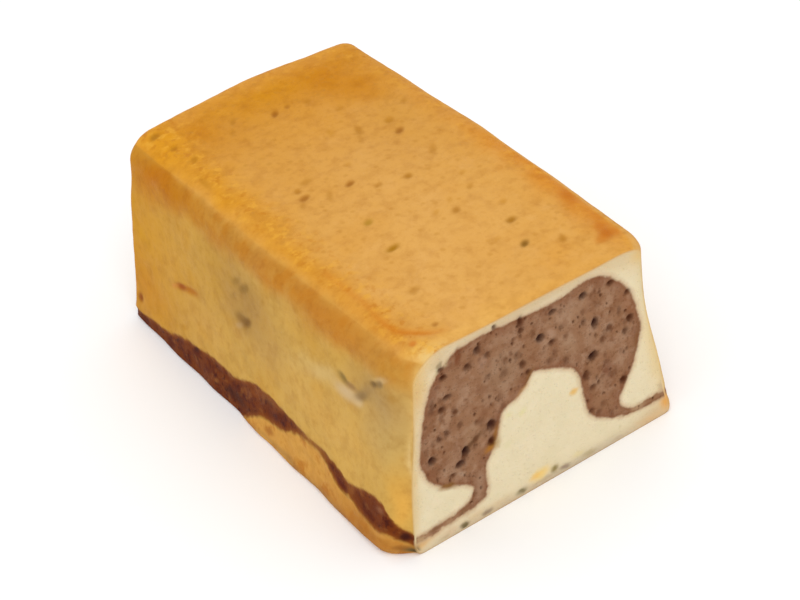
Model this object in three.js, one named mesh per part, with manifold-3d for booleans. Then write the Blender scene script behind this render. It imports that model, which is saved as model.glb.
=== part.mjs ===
// Half of a marble cake baked in a loaf tin, standing the way it left the tin's
// mould: the smooth browned face that lay on the tin is on top, the wide face
// that rose in the oven is underneath. A knife cut closes the near end (-Y) and
// shows the crumb; the far end (+Y) is baked crust. Millimetres, +Z up.

import * as THREE from 'three';
import { mergeVertices } from 'three/addons/utils/BufferGeometryUtils.js';
import Module from 'manifold-3d';

// ---------------------------------------------------------------- loaf sizes
const LENGTH = 136.4;          // knife cut to far end, along the top
const BASE_WIDTH = 89.8;       // across the foot, without its lip
const TOP_WIDTH = 72.7;        // across the top, before its edges are rounded
const HEIGHT = 60.7;
const TOP_WIDENING = 2.4;      // each side is this much further out at the far end
const LEAN = 1.3;              // the top sits this far towards +X over the foot
const END_SLOPE = 0.7;         // how much further the far end reaches at the foot
const END_BOW = 2.7;           // the far end swells this much between its corners
const CORNER_ROUND = 0.6;      // how far the far end's upright corners fall back

// ---------------------------------------------------------------- edge radii
const LEFT_EDGE_RADIUS = 12.4; // top edge along -X, softest beside the cut
const FAR_LEFT_RADIUS = 7;     // the same edge at the far end
const LEFT_EDGE_DROP = 7.3;    // height over which that edge turns down
const RIGHT_EDGE_RADIUS = 3.9; // top edge along +X
const NEAR_RIGHT_RADIUS = 8.3; // the same edge where the knife dragged it down
const RIGHT_EDGE_DROP = 3.1;
const END_EDGE_RADIUS = 4.3;   // top edge of the far end
const BASE_EDGE_RADIUS = 1.8;
const NEAR_FOOT_RADIUS = 3.6;  // the foot's -X corner at the cut
const NEAR_FADE = 22;          // distance over which the cut's softer edges fade

// ------------------------------------------------------------- foot and sides
const LIP_FLARE = 0.9;         // the crust lip that runs round the foot
const LIP_HEIGHT = 5.5;        // height at which the lip has mostly died away
const END_LIP_SHARE = 0.6;     // how much of the lip the far end has
const RIGHT_HOLLOW = 1.7;      // the +X side is slightly hollow above its middle
const HOLLOW_SKEW = 1.55;      // over 1 lifts that hollow towards the top
const RIGHT_SWELL = 3.5;       // and swells out just behind the cut
const SWELL_START = 3.2;       // over about this distance
const PINCH_DEPTH = 5.9;       // the -X side draws in beside the cut
const PINCH_LENGTH = 3.4;
const PINCH_HEIGHT = 98;
const TUCK_DEPTH = 1.1;        // and a little more at its foot
const TUCK_LENGTH = 10;
const TUCK_HEIGHT = 8;

// --------------------------------------------------------- baked unevenness
const WAVE_DEPTH = 0.35;       // gentle waves all over the crust
const WAVE_LENGTHS = [17, 13]; // divided into a place before its sine is taken
const RIPPLE_DEPTH = 0.16;
const RIPPLE_LENGTHS = [6.1, 5.3];
const LIP_WOBBLE = 0.45;       // the lip comes and goes along the foot
const WOBBLE_LENGTHS = [11, 4.7];
const WOBBLE_START = 1.3;

// ------------------------------------------------------------- grid of faces
const STEPS_ACROSS = 22;
const STEPS_ALONG = 32;
const STEPS_UP = 16;
const EDGE_CROWDING = 0.55;    // 0 spaces the grid evenly, 1 packs it to edges

// ------------------------------------------------------------- holes and pits
const PORE_COUNT = 20;         // small seeded pores in the cocoa of the cut face
const PORE_RADIUS = [0.5, 0.8];
const PORE_DEPTH = 1.2;        // times the pore's own radius
const PIT_STRETCH = 1.2;       // a pit's length over its width
const PIT_DEPTH = 0.6;
const CRACK_WIDTH = 0.8;
const CRACK_DEPTH = 0.6;
const BALL_SIDES = 7;          // faces round each squashed ball that cuts a hole
const BALL_RINGS = 4;
const SEED = 20170;

const clamp = THREE.MathUtils.clamp;
const lerp = THREE.MathUtils.lerp;

// Grid positions 0..1, crowded towards both ends.
function crowdBothEnds(t) {
  return t - EDGE_CROWDING * Math.sin(2 * Math.PI * t) / (2 * Math.PI);
}

// Square-edged block to block with rounded edges. The overshoot past an inner
// box is pulled back from a square corner onto an ellipsoid's.
function roundEdges(p) {
  const up = p.z / HEIGHT;
  const fromLeft = clamp(p.x / TOP_WIDTH + 0.5, 0, 1);
  const nearness = Math.exp(-p.y / NEAR_FADE);
  const leftRadius = lerp(LEFT_EDGE_RADIUS, FAR_LEFT_RADIUS, p.y / LENGTH);
  const rightRadius = lerp(RIGHT_EDGE_RADIUS, NEAR_RIGHT_RADIUS, nearness);
  const topRadius = lerp(leftRadius, rightRadius, fromLeft);
  const topDrop = lerp(LEFT_EDGE_DROP, RIGHT_EDGE_DROP, fromLeft);
  const footRadius = lerp(BASE_EDGE_RADIUS, NEAR_FOOT_RADIUS, nearness * (1 - fromLeft));
  const radius = new THREE.Vector3(
    lerp(footRadius, topRadius, up),
    lerp(BASE_EDGE_RADIUS, END_EDGE_RADIUS, up),
    lerp(footRadius, topDrop, up));
  const reach = TOP_WIDTH / 2 - radius.x;
  const inner = new THREE.Vector3(
    clamp(p.x, -reach, reach),
    Math.min(p.y, LENGTH - radius.y),
    clamp(p.z, radius.z, HEIGHT - radius.z));
  const over = p.clone().sub(inner).divide(radius);
  const length = over.length();
  if (length === 0) {
    return p.clone();
  }
  const square = Math.max(Math.abs(over.x), Math.abs(over.y), Math.abs(over.z));
  return over.multiplyScalar(square / length).multiply(radius).add(inner);
}

// Low waves that the batter left in the crust: 0 on average.
function waves(a, b, phase) {
  const slow = Math.sin(a / WAVE_LENGTHS[0] + phase) * Math.cos(b / WAVE_LENGTHS[1] - phase * 1.7);
  const quick = Math.sin(a / RIPPLE_LENGTHS[0] - phase * 2.3)
    * Math.sin(b / RIPPLE_LENGTHS[1] + phase);
  return slow * WAVE_DEPTH + quick * RIPPLE_DEPTH;
}

// Rounded block to loaf: flared sides, the foot's lip, a bowed far end.
function loafForm(p) {
  const up = p.z / HEIGHT;
  const along = p.y / LENGTH;
  const half = lerp(BASE_WIDTH, TOP_WIDTH, up) / 2;
  const x = p.x * half / (TOP_WIDTH / 2);
  const across = clamp(x / half, -1, 1);
  const lip = LIP_FLARE * Math.exp(-p.z / LIP_HEIGHT);
  const wobble = 1 + LIP_WOBBLE * Math.sin(p.y / WOBBLE_LENGTHS[0] + WOBBLE_START)
    * Math.sin(p.y / WOBBLE_LENGTHS[1]);
  const outward = across ** 3 * (lip * wobble + TOP_WIDENING * along * up);
  const rightness = clamp(across, 0, 1) ** 3;
  const swell = RIGHT_SWELL * (1 - Math.exp(-p.y / SWELL_START)) * Math.cos(Math.PI / 2 * along);
  const hollow = RIGHT_HOLLOW * Math.sin(Math.PI * up ** HOLLOW_SKEW);
  const leftness = clamp(-across, 0, 1) ** 2;
  const pinch = PINCH_DEPTH * Math.exp(-((p.y / PINCH_LENGTH) ** 2) - p.z / PINCH_HEIGHT);
  const tuck = TUCK_DEPTH * Math.exp(-p.y / TUCK_LENGTH - p.z / TUCK_HEIGHT);
  const slope = along * END_SLOPE * (1 - up);
  const bow = END_BOW * along ** 6 * (1 - across ** 2);
  const corner = CORNER_ROUND * along ** 8 * across ** 6;
  return new THREE.Vector3(
    x + outward + rightness * (swell - hollow) + leftness * (pinch + tuck) + LEAN * up,
    p.y + slope + bow - corner + along ** 8 * lip * END_LIP_SHARE,
    p.z);
}

// The crust is uneven, but the cut stays flat and the foot stays on its plane.
function unevenness(p) {
  const side = clamp(p.x / (TOP_WIDTH / 2), -1, 1) ** 3;
  const end = clamp(p.y / LENGTH, 0, 1) ** 8;
  const top = clamp(p.z / HEIGHT, 0, 1) ** 6;
  return new THREE.Vector3(
    side * waves(p.y, p.z, 0.6),
    end * waves(p.x, p.z, 2.1),
    top * waves(p.x, p.y, 4.0));
}

function makeLoafGeometry() {
  const box = new THREE.BoxGeometry(1, 1, 1, STEPS_ACROSS, STEPS_ALONG, STEPS_UP);
  const position = box.attributes.position;
  for (let i = 0; i < position.count; i += 1) {
    const block = new THREE.Vector3(
      (crowdBothEnds(position.getX(i) + 0.5) - 0.5) * TOP_WIDTH,
      crowdBothEnds(position.getY(i) + 0.5) * LENGTH,
      crowdBothEnds(position.getZ(i) + 0.5) * HEIGHT);
    const loaf = loafForm(roundEdges(block));
    loaf.add(unevenness(loaf));
    position.setXYZ(i, loaf.x, loaf.y, loaf.z);
  }
  return box;
}

// ------------------------------------------------------ repeatable random draw
function makeRandom(seed) {
  let state = seed;
  return function draw(low, high) {
    state = (state * 1664525 + 1013904223) % 4294967296;
    return low + (high - low) * state / 4294967296;
  };
}

// One squashed ball, used as a cutter for a pore or a pit.
function ball(centre, radii) {
  const geometry = new THREE.SphereGeometry(1, BALL_SIDES, BALL_RINGS);
  geometry.scale(radii.x, radii.y, radii.z);
  geometry.translate(centre.x, centre.y, centre.z);
  return geometry;
}

// The cocoa arch on the cut face: its middle line, in x and z of the section.
const ARCH = new THREE.CatmullRomCurve3([
  new THREE.Vector3(-24, 0, 20),
  new THREE.Vector3(-23, 0, 38),
  new THREE.Vector3(-14, 0, 48),
  new THREE.Vector3(2, 0, 48),
  new THREE.Vector3(16, 0, 47),
  new THREE.Vector3(26, 0, 39),
  new THREE.Vector3(26, 0, 15),
]);
const ARCH_HALF_WIDTH = 7.5;

// The widest air bubbles in it, as [x, z, radius].
const LARGE_PORES = [
  [-29.7, 29, 1.1],
  [-19.7, 26, 1.4],
  [-22, 23, 0.9],
  [-11.5, 30.5, 1],
  [5.2, 48.2, 1.2],
  [18.6, 28, 0.9],
  [20.8, 33.8, 1.4],
  [22.4, 43.8, 1.1],
  [33.2, 38.9, 0.9],
];

function pore(x, z, radius, depth) {
  const radii = new THREE.Vector3(radius, depth, radius);
  return ball(new THREE.Vector3(x, 0, z), radii);
}

// Air bubbles that the knife opened, nearly all in the cocoa arch.
function makePores(draw) {
  const pores = LARGE_PORES.map(([x, z, radius]) => pore(x, z, radius, radius * PORE_DEPTH));
  for (let i = 0; i < PORE_COUNT; i += 1) {
    const place = ARCH.getPoint((i + draw(0.1, 0.9)) / PORE_COUNT);
    const x = place.x + draw(-ARCH_HALF_WIDTH, ARCH_HALF_WIDTH);
    const z = place.z + draw(-ARCH_HALF_WIDTH, ARCH_HALF_WIDTH);
    const radius = draw(PORE_RADIUS[0], PORE_RADIUS[1]);
    pores.push(pore(x, z, radius, radius * PORE_DEPTH));
  }
  return pores;
}

// Pin holes in the smooth top, as [x, distance from the cut, radius].
const PIN_HOLES = [
  [-9, 40.4, 0.9],
  [-8.5, 53.3, 0.7],
  [-14, 78.2, 0.8],
  [-1.7, 71.5, 0.7],
  [-27, 111.6, 0.8],
  [1.1, 114.6, 0.8],
  [23.1, 89, 0.8],
  [14, 90.8, 0.7],
  [23.8, 69.1, 0.7],
  [22.9, 55, 0.7],
  [11.5, 42, 0.8],
  [22.6, 36.8, 0.7],
  [19.7, 29.6, 0.9],
  [16.3, 19.4, 0.7],
  [24.8, 14.9, 0.8],
];

function makePits() {
  return PIN_HOLES.map(([x, y, radius]) => {
    const flat = new THREE.Vector3(x, y, HEIGHT);
    const centre = flat.clone().add(unevenness(flat));
    return ball(centre, new THREE.Vector3(radius, radius * PIT_STRETCH, PIT_DEPTH));
  });
}

// Short cracks in the left side, as [distance from the cut, height, length].
const SIDE_CRACKS = [
  [11, 49, 4],
  [24, 43.2, 4.5],
  [71, 33.8, 5],
  [71, 45, 5],
  [103, 27.2, 7],
];

function makeCracks() {
  return SIDE_CRACKS.map(([y, z, length]) => {
    const block = new THREE.Vector3(-TOP_WIDTH / 2, y, z);
    const surface = loafForm(block);
    surface.add(unevenness(surface));
    return ball(surface, new THREE.Vector3(CRACK_WIDTH, length / 2, CRACK_DEPTH));
  });
}

// -------------------------------------------------------------- joins and cuts
const wasm = await Module();
wasm.setup();

function toSolid(geometry) {
  geometry.deleteAttribute('normal');
  geometry.deleteAttribute('uv');
  const merged = mergeVertices(geometry, 1e-4);
  return new wasm.Manifold(new wasm.Mesh({
    numProp: 3,
    vertProperties: new Float32Array(merged.attributes.position.array),
    triVerts: new Uint32Array(merged.index.array),
  }));
}

function toGeometry(solid) {
  const mesh = solid.getMesh();
  const geometry = new THREE.BufferGeometry();
  geometry.setAttribute('position', new THREE.BufferAttribute(mesh.vertProperties, 3));
  geometry.setIndex(new THREE.BufferAttribute(mesh.triVerts, 1));
  geometry.computeVertexNormals();
  return geometry;
}

const draw = makeRandom(SEED);
const cutters = [...makePores(draw), ...makePits(), ...makeCracks()];
let loaf = toSolid(makeLoafGeometry());
for (const cutter of cutters) {
  loaf = loaf.subtract(toSolid(cutter));
}

// Stand the loaf with the middle of its footprint at the origin.
const cakeGeometry = toGeometry(loaf);
cakeGeometry.computeBoundingBox();
const middle = cakeGeometry.boundingBox.getCenter(new THREE.Vector3());
cakeGeometry.translate(-middle.x, -middle.y, 0);

const crust = new THREE.MeshStandardMaterial({
  color: new THREE.Color().setRGB(0.85, 0.61, 0.3, THREE.SRGBColorSpace),
  roughness: 0.62,
  metalness: 0,
});

const cake = new THREE.Mesh(cakeGeometry, crust);
cake.name = 'marble_cake';

const part = new THREE.Group();
part.add(cake);

export default part;
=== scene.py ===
# %% [markdown]
# # Half a marble loaf cake
#
# The cake is half a loaf, cut with a knife at its near end, and it stands the
# way it left the tin: the smooth browned face on top, the wide face on the
# table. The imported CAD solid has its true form. Here that solid is dressed: a
# crust with its baked colours and blemishes, and a cut face of soft crumb with
# a cocoa arch. Everything is in the solid's own frame, so nothing is fitted.

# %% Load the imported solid
import math

import bmesh
import bpy
import numpy as np
from mathutils import Matrix, Vector, noise


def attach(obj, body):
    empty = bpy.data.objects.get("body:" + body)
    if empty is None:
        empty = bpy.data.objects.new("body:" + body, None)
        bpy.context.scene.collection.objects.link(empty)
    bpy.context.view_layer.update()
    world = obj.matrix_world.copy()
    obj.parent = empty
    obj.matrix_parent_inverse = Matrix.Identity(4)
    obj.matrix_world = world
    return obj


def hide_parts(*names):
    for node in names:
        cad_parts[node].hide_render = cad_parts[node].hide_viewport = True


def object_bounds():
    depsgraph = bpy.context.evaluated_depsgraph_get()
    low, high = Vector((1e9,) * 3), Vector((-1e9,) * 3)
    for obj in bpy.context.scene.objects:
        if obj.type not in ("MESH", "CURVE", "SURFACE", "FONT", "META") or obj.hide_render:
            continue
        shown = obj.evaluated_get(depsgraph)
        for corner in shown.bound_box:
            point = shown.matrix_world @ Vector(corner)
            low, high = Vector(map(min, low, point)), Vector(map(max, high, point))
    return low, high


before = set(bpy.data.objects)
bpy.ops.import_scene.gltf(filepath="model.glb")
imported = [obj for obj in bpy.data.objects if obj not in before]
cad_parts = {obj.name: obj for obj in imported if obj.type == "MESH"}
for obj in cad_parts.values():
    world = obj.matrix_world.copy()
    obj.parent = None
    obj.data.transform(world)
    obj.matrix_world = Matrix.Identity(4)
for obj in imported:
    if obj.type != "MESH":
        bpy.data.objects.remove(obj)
cad_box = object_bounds()
MM = 0.001
print("solid box in mm:", [[round(v / MM, 1) for v in corner] for corner in cad_box])


def add_object(name, data):
    """A new object of the scene with this data."""
    thing = bpy.data.objects.new(name, data)
    bpy.context.scene.collection.objects.link(thing)
    return thing


# %% [markdown]
# ## The camera
#
# A long lens stands well back, high on the left, and looks down on the cut
# face, the left side and the top at once. It is turned about its own line of
# sight by a few degrees, as a hand-held camera is. Its place follows from two
# angles and a distance, which read more plainly than a list of coordinates.

# %% Place the camera
CAMERA_AZIMUTH = math.radians(-29.902)
CAMERA_ELEVATION = math.radians(38.19)
CAMERA_ROLL = math.radians(-7.652)
CAMERA_DISTANCE = 550.125
CAMERA_TARGET = Vector((0, 0, 31))
FRAMING_SHIFT = (-5.94, 8.405)
LENS = 90
SENSOR_WIDTH = 36
CLIP_END = 20

back = Vector((
    math.sin(CAMERA_AZIMUTH) * math.cos(CAMERA_ELEVATION),
    -math.cos(CAMERA_AZIMUTH) * math.cos(CAMERA_ELEVATION),
    math.sin(CAMERA_ELEVATION)))
level = Vector((math.cos(CAMERA_AZIMUTH), math.sin(CAMERA_AZIMUTH), 0))
upright = back.cross(level)
right = level * math.cos(CAMERA_ROLL) + upright * math.sin(CAMERA_ROLL)
above = upright * math.cos(CAMERA_ROLL) - level * math.sin(CAMERA_ROLL)
stand = (CAMERA_TARGET - right * FRAMING_SHIFT[0] - above * FRAMING_SHIFT[1]
         + back * CAMERA_DISTANCE)

camera = add_object("camera", bpy.data.cameras.new("camera"))
camera.data.lens = LENS
camera.data.sensor_width = SENSOR_WIDTH
camera.data.clip_end = CLIP_END
camera.matrix_world = (
    Matrix.Translation(stand * MM)
    @ Matrix((right, above, back)).transposed().to_4x4())
bpy.context.scene.camera = camera
print("camera stands at", [round(v) for v in stand], "mm")

# %% [markdown]
# ## The form of the loaf
#
# A loaf is a block whose sides flare, whose edges are rounded and whose foot
# has a thin lip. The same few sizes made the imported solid, so a finer mesh
# that follows them lies exactly on it. A rule that moves points is used rather
# than a sculpt, because then both pieces below can share one form. All these
# lengths are in millimetres: x across, y from the cut to the far end, z up.

# %% Sizes of the loaf
LENGTH = 136.4
BASE_WIDTH = 89.8
TOP_WIDTH = 72.7
HEIGHT = 60.7
TOP_WIDENING = 2.4
LEAN = 1.3
END_SLOPE = 0.7
END_BOW = 2.7
CORNER_ROUND = 0.6
LEFT_EDGE_RADIUS = 12.4
FAR_LEFT_RADIUS = 7
LEFT_EDGE_DROP = 7.3
RIGHT_EDGE_RADIUS = 3.9
NEAR_RIGHT_RADIUS = 8.3
RIGHT_EDGE_DROP = 3.1
END_EDGE_RADIUS = 4.3
BASE_EDGE_RADIUS = 1.8
NEAR_FOOT_RADIUS = 3.6
NEAR_FADE = 22
LIP_FLARE = 0.9
LIP_HEIGHT = 5.5
END_LIP_SHARE = 0.6
RIGHT_HOLLOW = 1.7
HOLLOW_SKEW = 1.55
RIGHT_SWELL = 3.5
SWELL_START = 3.2
PINCH_DEPTH = 5.9
PINCH_LENGTH = 3.4
PINCH_HEIGHT = 98
TUCK_DEPTH = 1.1
TUCK_LENGTH = 10
TUCK_HEIGHT = 8
WAVE_DEPTH = 0.35
WAVE_LENGTHS = (17, 13)
RIPPLE_DEPTH = 0.16
RIPPLE_LENGTHS = (6.1, 5.3)
LIP_WOBBLE = 0.45
WOBBLE_LENGTHS = (11, 4.7)
WOBBLE_START = 1.3
WALL_PHASE = 0.6
END_PHASE = 2.1
TOP_PHASE = 4
ACROSS_WAVES = 1.7
RIPPLE_SHIFT = 2.3


def ramp(low, high, share):
    """The value that lies this share of the way from low to high."""
    return low + (high - low) * share


def ease(value, start, end):
    """0 up to start, 1 from end, and a soft S between."""
    share = np.clip((value - start) / (end - start), 0, 1)
    return share * share * (3 - 2 * share)


# %% Round the block's edges
def round_edges(block):
    """Points of the square-edged block, drawn in where its edges are round."""
    x, y, z = block.T
    up = z / HEIGHT
    from_left = np.clip(x / TOP_WIDTH + 0.5, 0, 1)
    nearness = np.exp(-y / NEAR_FADE)
    left_radius = ramp(LEFT_EDGE_RADIUS, FAR_LEFT_RADIUS, y / LENGTH)
    right_radius = ramp(RIGHT_EDGE_RADIUS, NEAR_RIGHT_RADIUS, nearness)
    top_radius = ramp(left_radius, right_radius, from_left)
    top_drop = ramp(LEFT_EDGE_DROP, RIGHT_EDGE_DROP, from_left)
    foot_radius = ramp(BASE_EDGE_RADIUS, NEAR_FOOT_RADIUS, nearness * (1 - from_left))
    radius = np.stack([
        ramp(foot_radius, top_radius, up),
        ramp(BASE_EDGE_RADIUS, END_EDGE_RADIUS, up),
        ramp(foot_radius, top_drop, up)], 1)
    reach = TOP_WIDTH / 2 - radius[:, 0]
    inner = np.stack([
        np.clip(x, -reach, reach),
        np.minimum(y, LENGTH - radius[:, 1]),
        np.clip(z, radius[:, 2], HEIGHT - radius[:, 2])], 1)
    over = (block - inner) / radius
    length = np.linalg.norm(over, axis=1, keepdims=True)
    square = np.abs(over).max(axis=1, keepdims=True)
    pull = np.divide(square, length, out=np.ones_like(length), where=length > 0)
    return inner + over * pull * radius


# %% Flare the sides and bow the far end
def loaf_form(p):
    """Points of the rounded block, moved onto the smooth form of the loaf."""
    x, y, z = p.T
    up = z / HEIGHT
    along = y / LENGTH
    half = ramp(BASE_WIDTH, TOP_WIDTH, up) / 2
    wide = x * half / (TOP_WIDTH / 2)
    across = np.clip(wide / half, -1, 1)
    lip = LIP_FLARE * np.exp(-z / LIP_HEIGHT)
    wobble = 1 + (LIP_WOBBLE * np.sin(y / WOBBLE_LENGTHS[0] + WOBBLE_START)
                  * np.sin(y / WOBBLE_LENGTHS[1]))
    outward = across ** 3 * (lip * wobble + TOP_WIDENING * along * up)
    swell = RIGHT_SWELL * (1 - np.exp(-y / SWELL_START)) * np.cos(np.pi / 2 * along)
    hollow = RIGHT_HOLLOW * np.sin(np.pi * np.clip(up, 0, 1) ** HOLLOW_SKEW)
    pinch = PINCH_DEPTH * np.exp(-(y / PINCH_LENGTH) ** 2 - z / PINCH_HEIGHT)
    tuck = TUCK_DEPTH * np.exp(-y / TUCK_LENGTH - z / TUCK_HEIGHT)
    outward += np.clip(across, 0, 1) ** 3 * (swell - hollow)
    outward += np.clip(-across, 0, 1) ** 2 * (pinch + tuck)
    slope = along * END_SLOPE * (1 - up)
    bow = END_BOW * along ** 6 * (1 - across ** 2)
    corner = CORNER_ROUND * along ** 8 * across ** 6
    end_lip = along ** 8 * lip * END_LIP_SHARE
    return np.stack([wide + outward + LEAN * up, y + slope + bow - corner + end_lip, z], 1)


def waves(a, b, phase):
    """Slow waves with quick ripples on them, along two measures of a face."""
    slow = (np.sin(a / WAVE_LENGTHS[0] + phase)
            * np.cos(b / WAVE_LENGTHS[1] - phase * ACROSS_WAVES))
    quick = (np.sin(a / RIPPLE_LENGTHS[0] - phase * RIPPLE_SHIFT)
             * np.sin(b / RIPPLE_LENGTHS[1] + phase))
    return slow * WAVE_DEPTH + quick * RIPPLE_DEPTH


def unevenness(p):
    """How far chance of baking moves each point of the loaf."""
    x, y, z = p.T
    return np.stack([
        np.clip(x / (TOP_WIDTH / 2), -1, 1) ** 3 * waves(y, z, WALL_PHASE),
        np.clip(y / LENGTH, 0, 1) ** 8 * waves(x, z, END_PHASE),
        np.clip(z / HEIGHT, 0, 1) ** 6 * waves(x, y, TOP_PHASE)], 1)


# %% Stand the loaf where the solid stands
def loaf_points(block):
    """Points of the square-edged block, moved onto the loaf, in millimetres."""
    loaf = loaf_form(round_edges(block))
    return loaf + unevenness(loaf)


SAMPLE_STEPS = (120, 60)
y, z = np.meshgrid(*(np.linspace(0, reach, steps)
                     for reach, steps in zip((LENGTH, HEIGHT), SAMPLE_STEPS)))
flank = np.stack([np.full(y.size, TOP_WIDTH / 2), y.ravel(), z.ravel()], 1)
flanks = loaf_points(np.concatenate([flank, flank * (-1, 1, 1)]))
CUT_Y = cad_box[0][1] / MM
MIDDLE_X = (flanks[:, 0].min() + flanks[:, 0].max()) / 2


def standing(block):
    """The loaf's points in the solid's own frame."""
    return loaf_points(block) + (-MIDDLE_X, CUT_Y, 0)


print("middle of the footprint at x", round(MIDDLE_X, 2), "cut at y", round(CUT_Y, 2))

# %% [markdown]
# ## Measuring on the surface
#
# Bands of cocoa, blemishes and pores all need one question answered: how far
# is this spot of the surface from that line? Distances in millimetres are kept
# on the mesh as attributes, and the materials turn them into crisp or soft
# edges. That gives sharper edges than colours painted on the mesh's corners.


# %% Distances to lines and outlines
CURVE_STEPS = 5


def near_path(points, path):
    """Distance to a line of straight pieces, and the piece and share nearest."""
    best = np.full(len(points), 1e9)
    place = np.zeros(len(points))
    for i, (start, end) in enumerate(zip(path[:-1], path[1:])):
        run = end - start
        share = np.clip(((points - start) @ run) / (run @ run), 0, 1)
        gap = np.linalg.norm(points - start - share[:, None] * run, axis=1)
        closer = gap < best
        best[closer] = gap[closer]
        place[closer] = i + share[closer]
    return best, place


def inside(points, outline):
    """True for the points that a closed outline holds."""
    x, z = points.T
    result = np.zeros(len(points), bool)
    for (x0, z0), (x1, z1) in zip(outline[:-1], outline[1:]):
        if z0 != z1:
            crossing = (z0 > z) != (z1 > z)
            result ^= crossing & (x < (x1 - x0) * (z - z0) / (z1 - z0) + x0)
    return result


def rounded(path, closed=False):
    """The same path with a smooth curve through its points."""
    path = np.array(path, float)
    if closed:
        path = np.concatenate([path[-1:], path, path[:2]])
    else:
        path = np.concatenate([path[:1], path, path[-1:]])
    curve = []
    for a, b, c, d in zip(path, path[1:], path[2:], path[3:]):
        for t in np.arange(CURVE_STEPS) / CURVE_STEPS:
            curve.append(0.5 * (2 * b + (c - a) * t + (2 * a - 5 * b + 4 * c - d) * t ** 2
                                + (3 * b - a - 3 * c + d) * t ** 3))
    curve.append(path[-2])
    return np.array(curve)


# %% Lumps of chance
SEED_STEPS = (7.31, 3.17, 5.53)


def lumps(points, size, seed):
    """Smooth chance heights, about -1 to 1, with lumps of this size."""
    shift = Vector([seed * step for step in SEED_STEPS])
    return np.array([noise.noise(Vector(p) / size + shift) for p in points])


def rough(points, *layers):
    """Layers of lumps added up, each given as its height, size and seed."""
    return sum(height * lumps(points, size, seed) for height, size, seed in layers)


def astray(points, reach, size, seed):
    """Chance shifts along both measures of a face, up to about this reach."""
    return np.stack([reach * lumps(points, size, seed + more) for more in (0, 1)], 1)


def stripe(value, middle, width):
    """1 on a line, fading to both sides of it."""
    return np.exp(-((value - middle) / width) ** 2)


# %% Colours
LIGHT_LEVEL = 1.1
SHEEN = 0.007
DARKEST = 0.002


def shade(red, green, blue):
    """The linear colour that looks like this, 0 to 255, in the light set at the end.

    The screen's own curve is undone, then the light and the matt sheen that lie
    over every colour are taken off.
    """
    channels = []
    for value in (red, green, blue):
        value /= 255
        linear = value / 12.92 if value <= 0.04045 else ((value + 0.055) / 1.055) ** 2.4
        channels.append(max(linear / LIGHT_LEVEL - SHEEN, DARKEST))
    return (*channels, 1.0)


# %% [markdown]
# ## The crust
#
# The crust is the skin that baked against the tin: golden on top, paler on the
# sides, with a toasted band under the top edge and a streak of cocoa batter
# that ran along the foot. It could be a shell with thickness, but only its
# outside and its cut rim ever show. So it starts as a cube cut into a fine
# grid, loses its near face, and is moved onto the loaf's form.

# %% Cut a cube into a grid
CRUST_STEPS = (104, 150, 80)
EDGE_CROWDING = 0.4
HALF_CUBE = 0.5
NEAR_FACE = -0.4999


def grid_block(steps):
    """A cube cut into so many steps along each axis."""
    block = bmesh.new()
    bmesh.ops.create_cube(block, size=1.0)
    for axis, count in enumerate(steps):
        run = [edge for edge in block.edges
               if abs(edge.verts[0].co[axis] - edge.verts[1].co[axis]) > HALF_CUBE]
        bmesh.ops.subdivide_edges(block, edges=run, cuts=count - 1, use_grid_fill=True)
    return block


crust = grid_block(CRUST_STEPS)
near_faces = [f for f in crust.faces if all(v.co.y < NEAR_FACE for v in f.verts)]
bmesh.ops.delete(crust, geom=near_faces, context='FACES')
print("crust grid:", len(crust.faces), "faces")


# %% From the cube to the square-edged block
def crowd_both_ends(t):
    """Moves evenly spaced places from 0 to 1 nearer to both ends."""
    return t - EDGE_CROWDING * np.sin(2 * np.pi * t) / (2 * np.pi)


def block_points(mesh):
    """Where each corner of the cut cube lies on the block, in millimetres."""
    x, y, z = (np.array([v.co[:] for v in mesh.verts]) + HALF_CUBE).T
    return np.stack([
        (crowd_both_ends(x) - HALF_CUBE) * TOP_WIDTH,
        crowd_both_ends(y) * LENGTH,
        crowd_both_ends(z) * HEIGHT], 1)


# %% [markdown]
# ## Blemishes of the crust
#
# A real crust has pin holes in its smooth top, slits where it clung to the
# tin, and soft grey clouds where it baked less. Each one is a small oval with
# a colour and a depth, named by where it lies: on the top by x and by its
# distance from the cut, on the left side by that distance and its height.
# Ovals are enough, since chance noise in the material frays their edges.

# %% Broad tones of the top
CARAMEL = (203, 130, 18)
AMBER = (211, 141, 24)
GILT = (227, 156, 32)
PALE_GOLD = (233, 178, 92)
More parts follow.
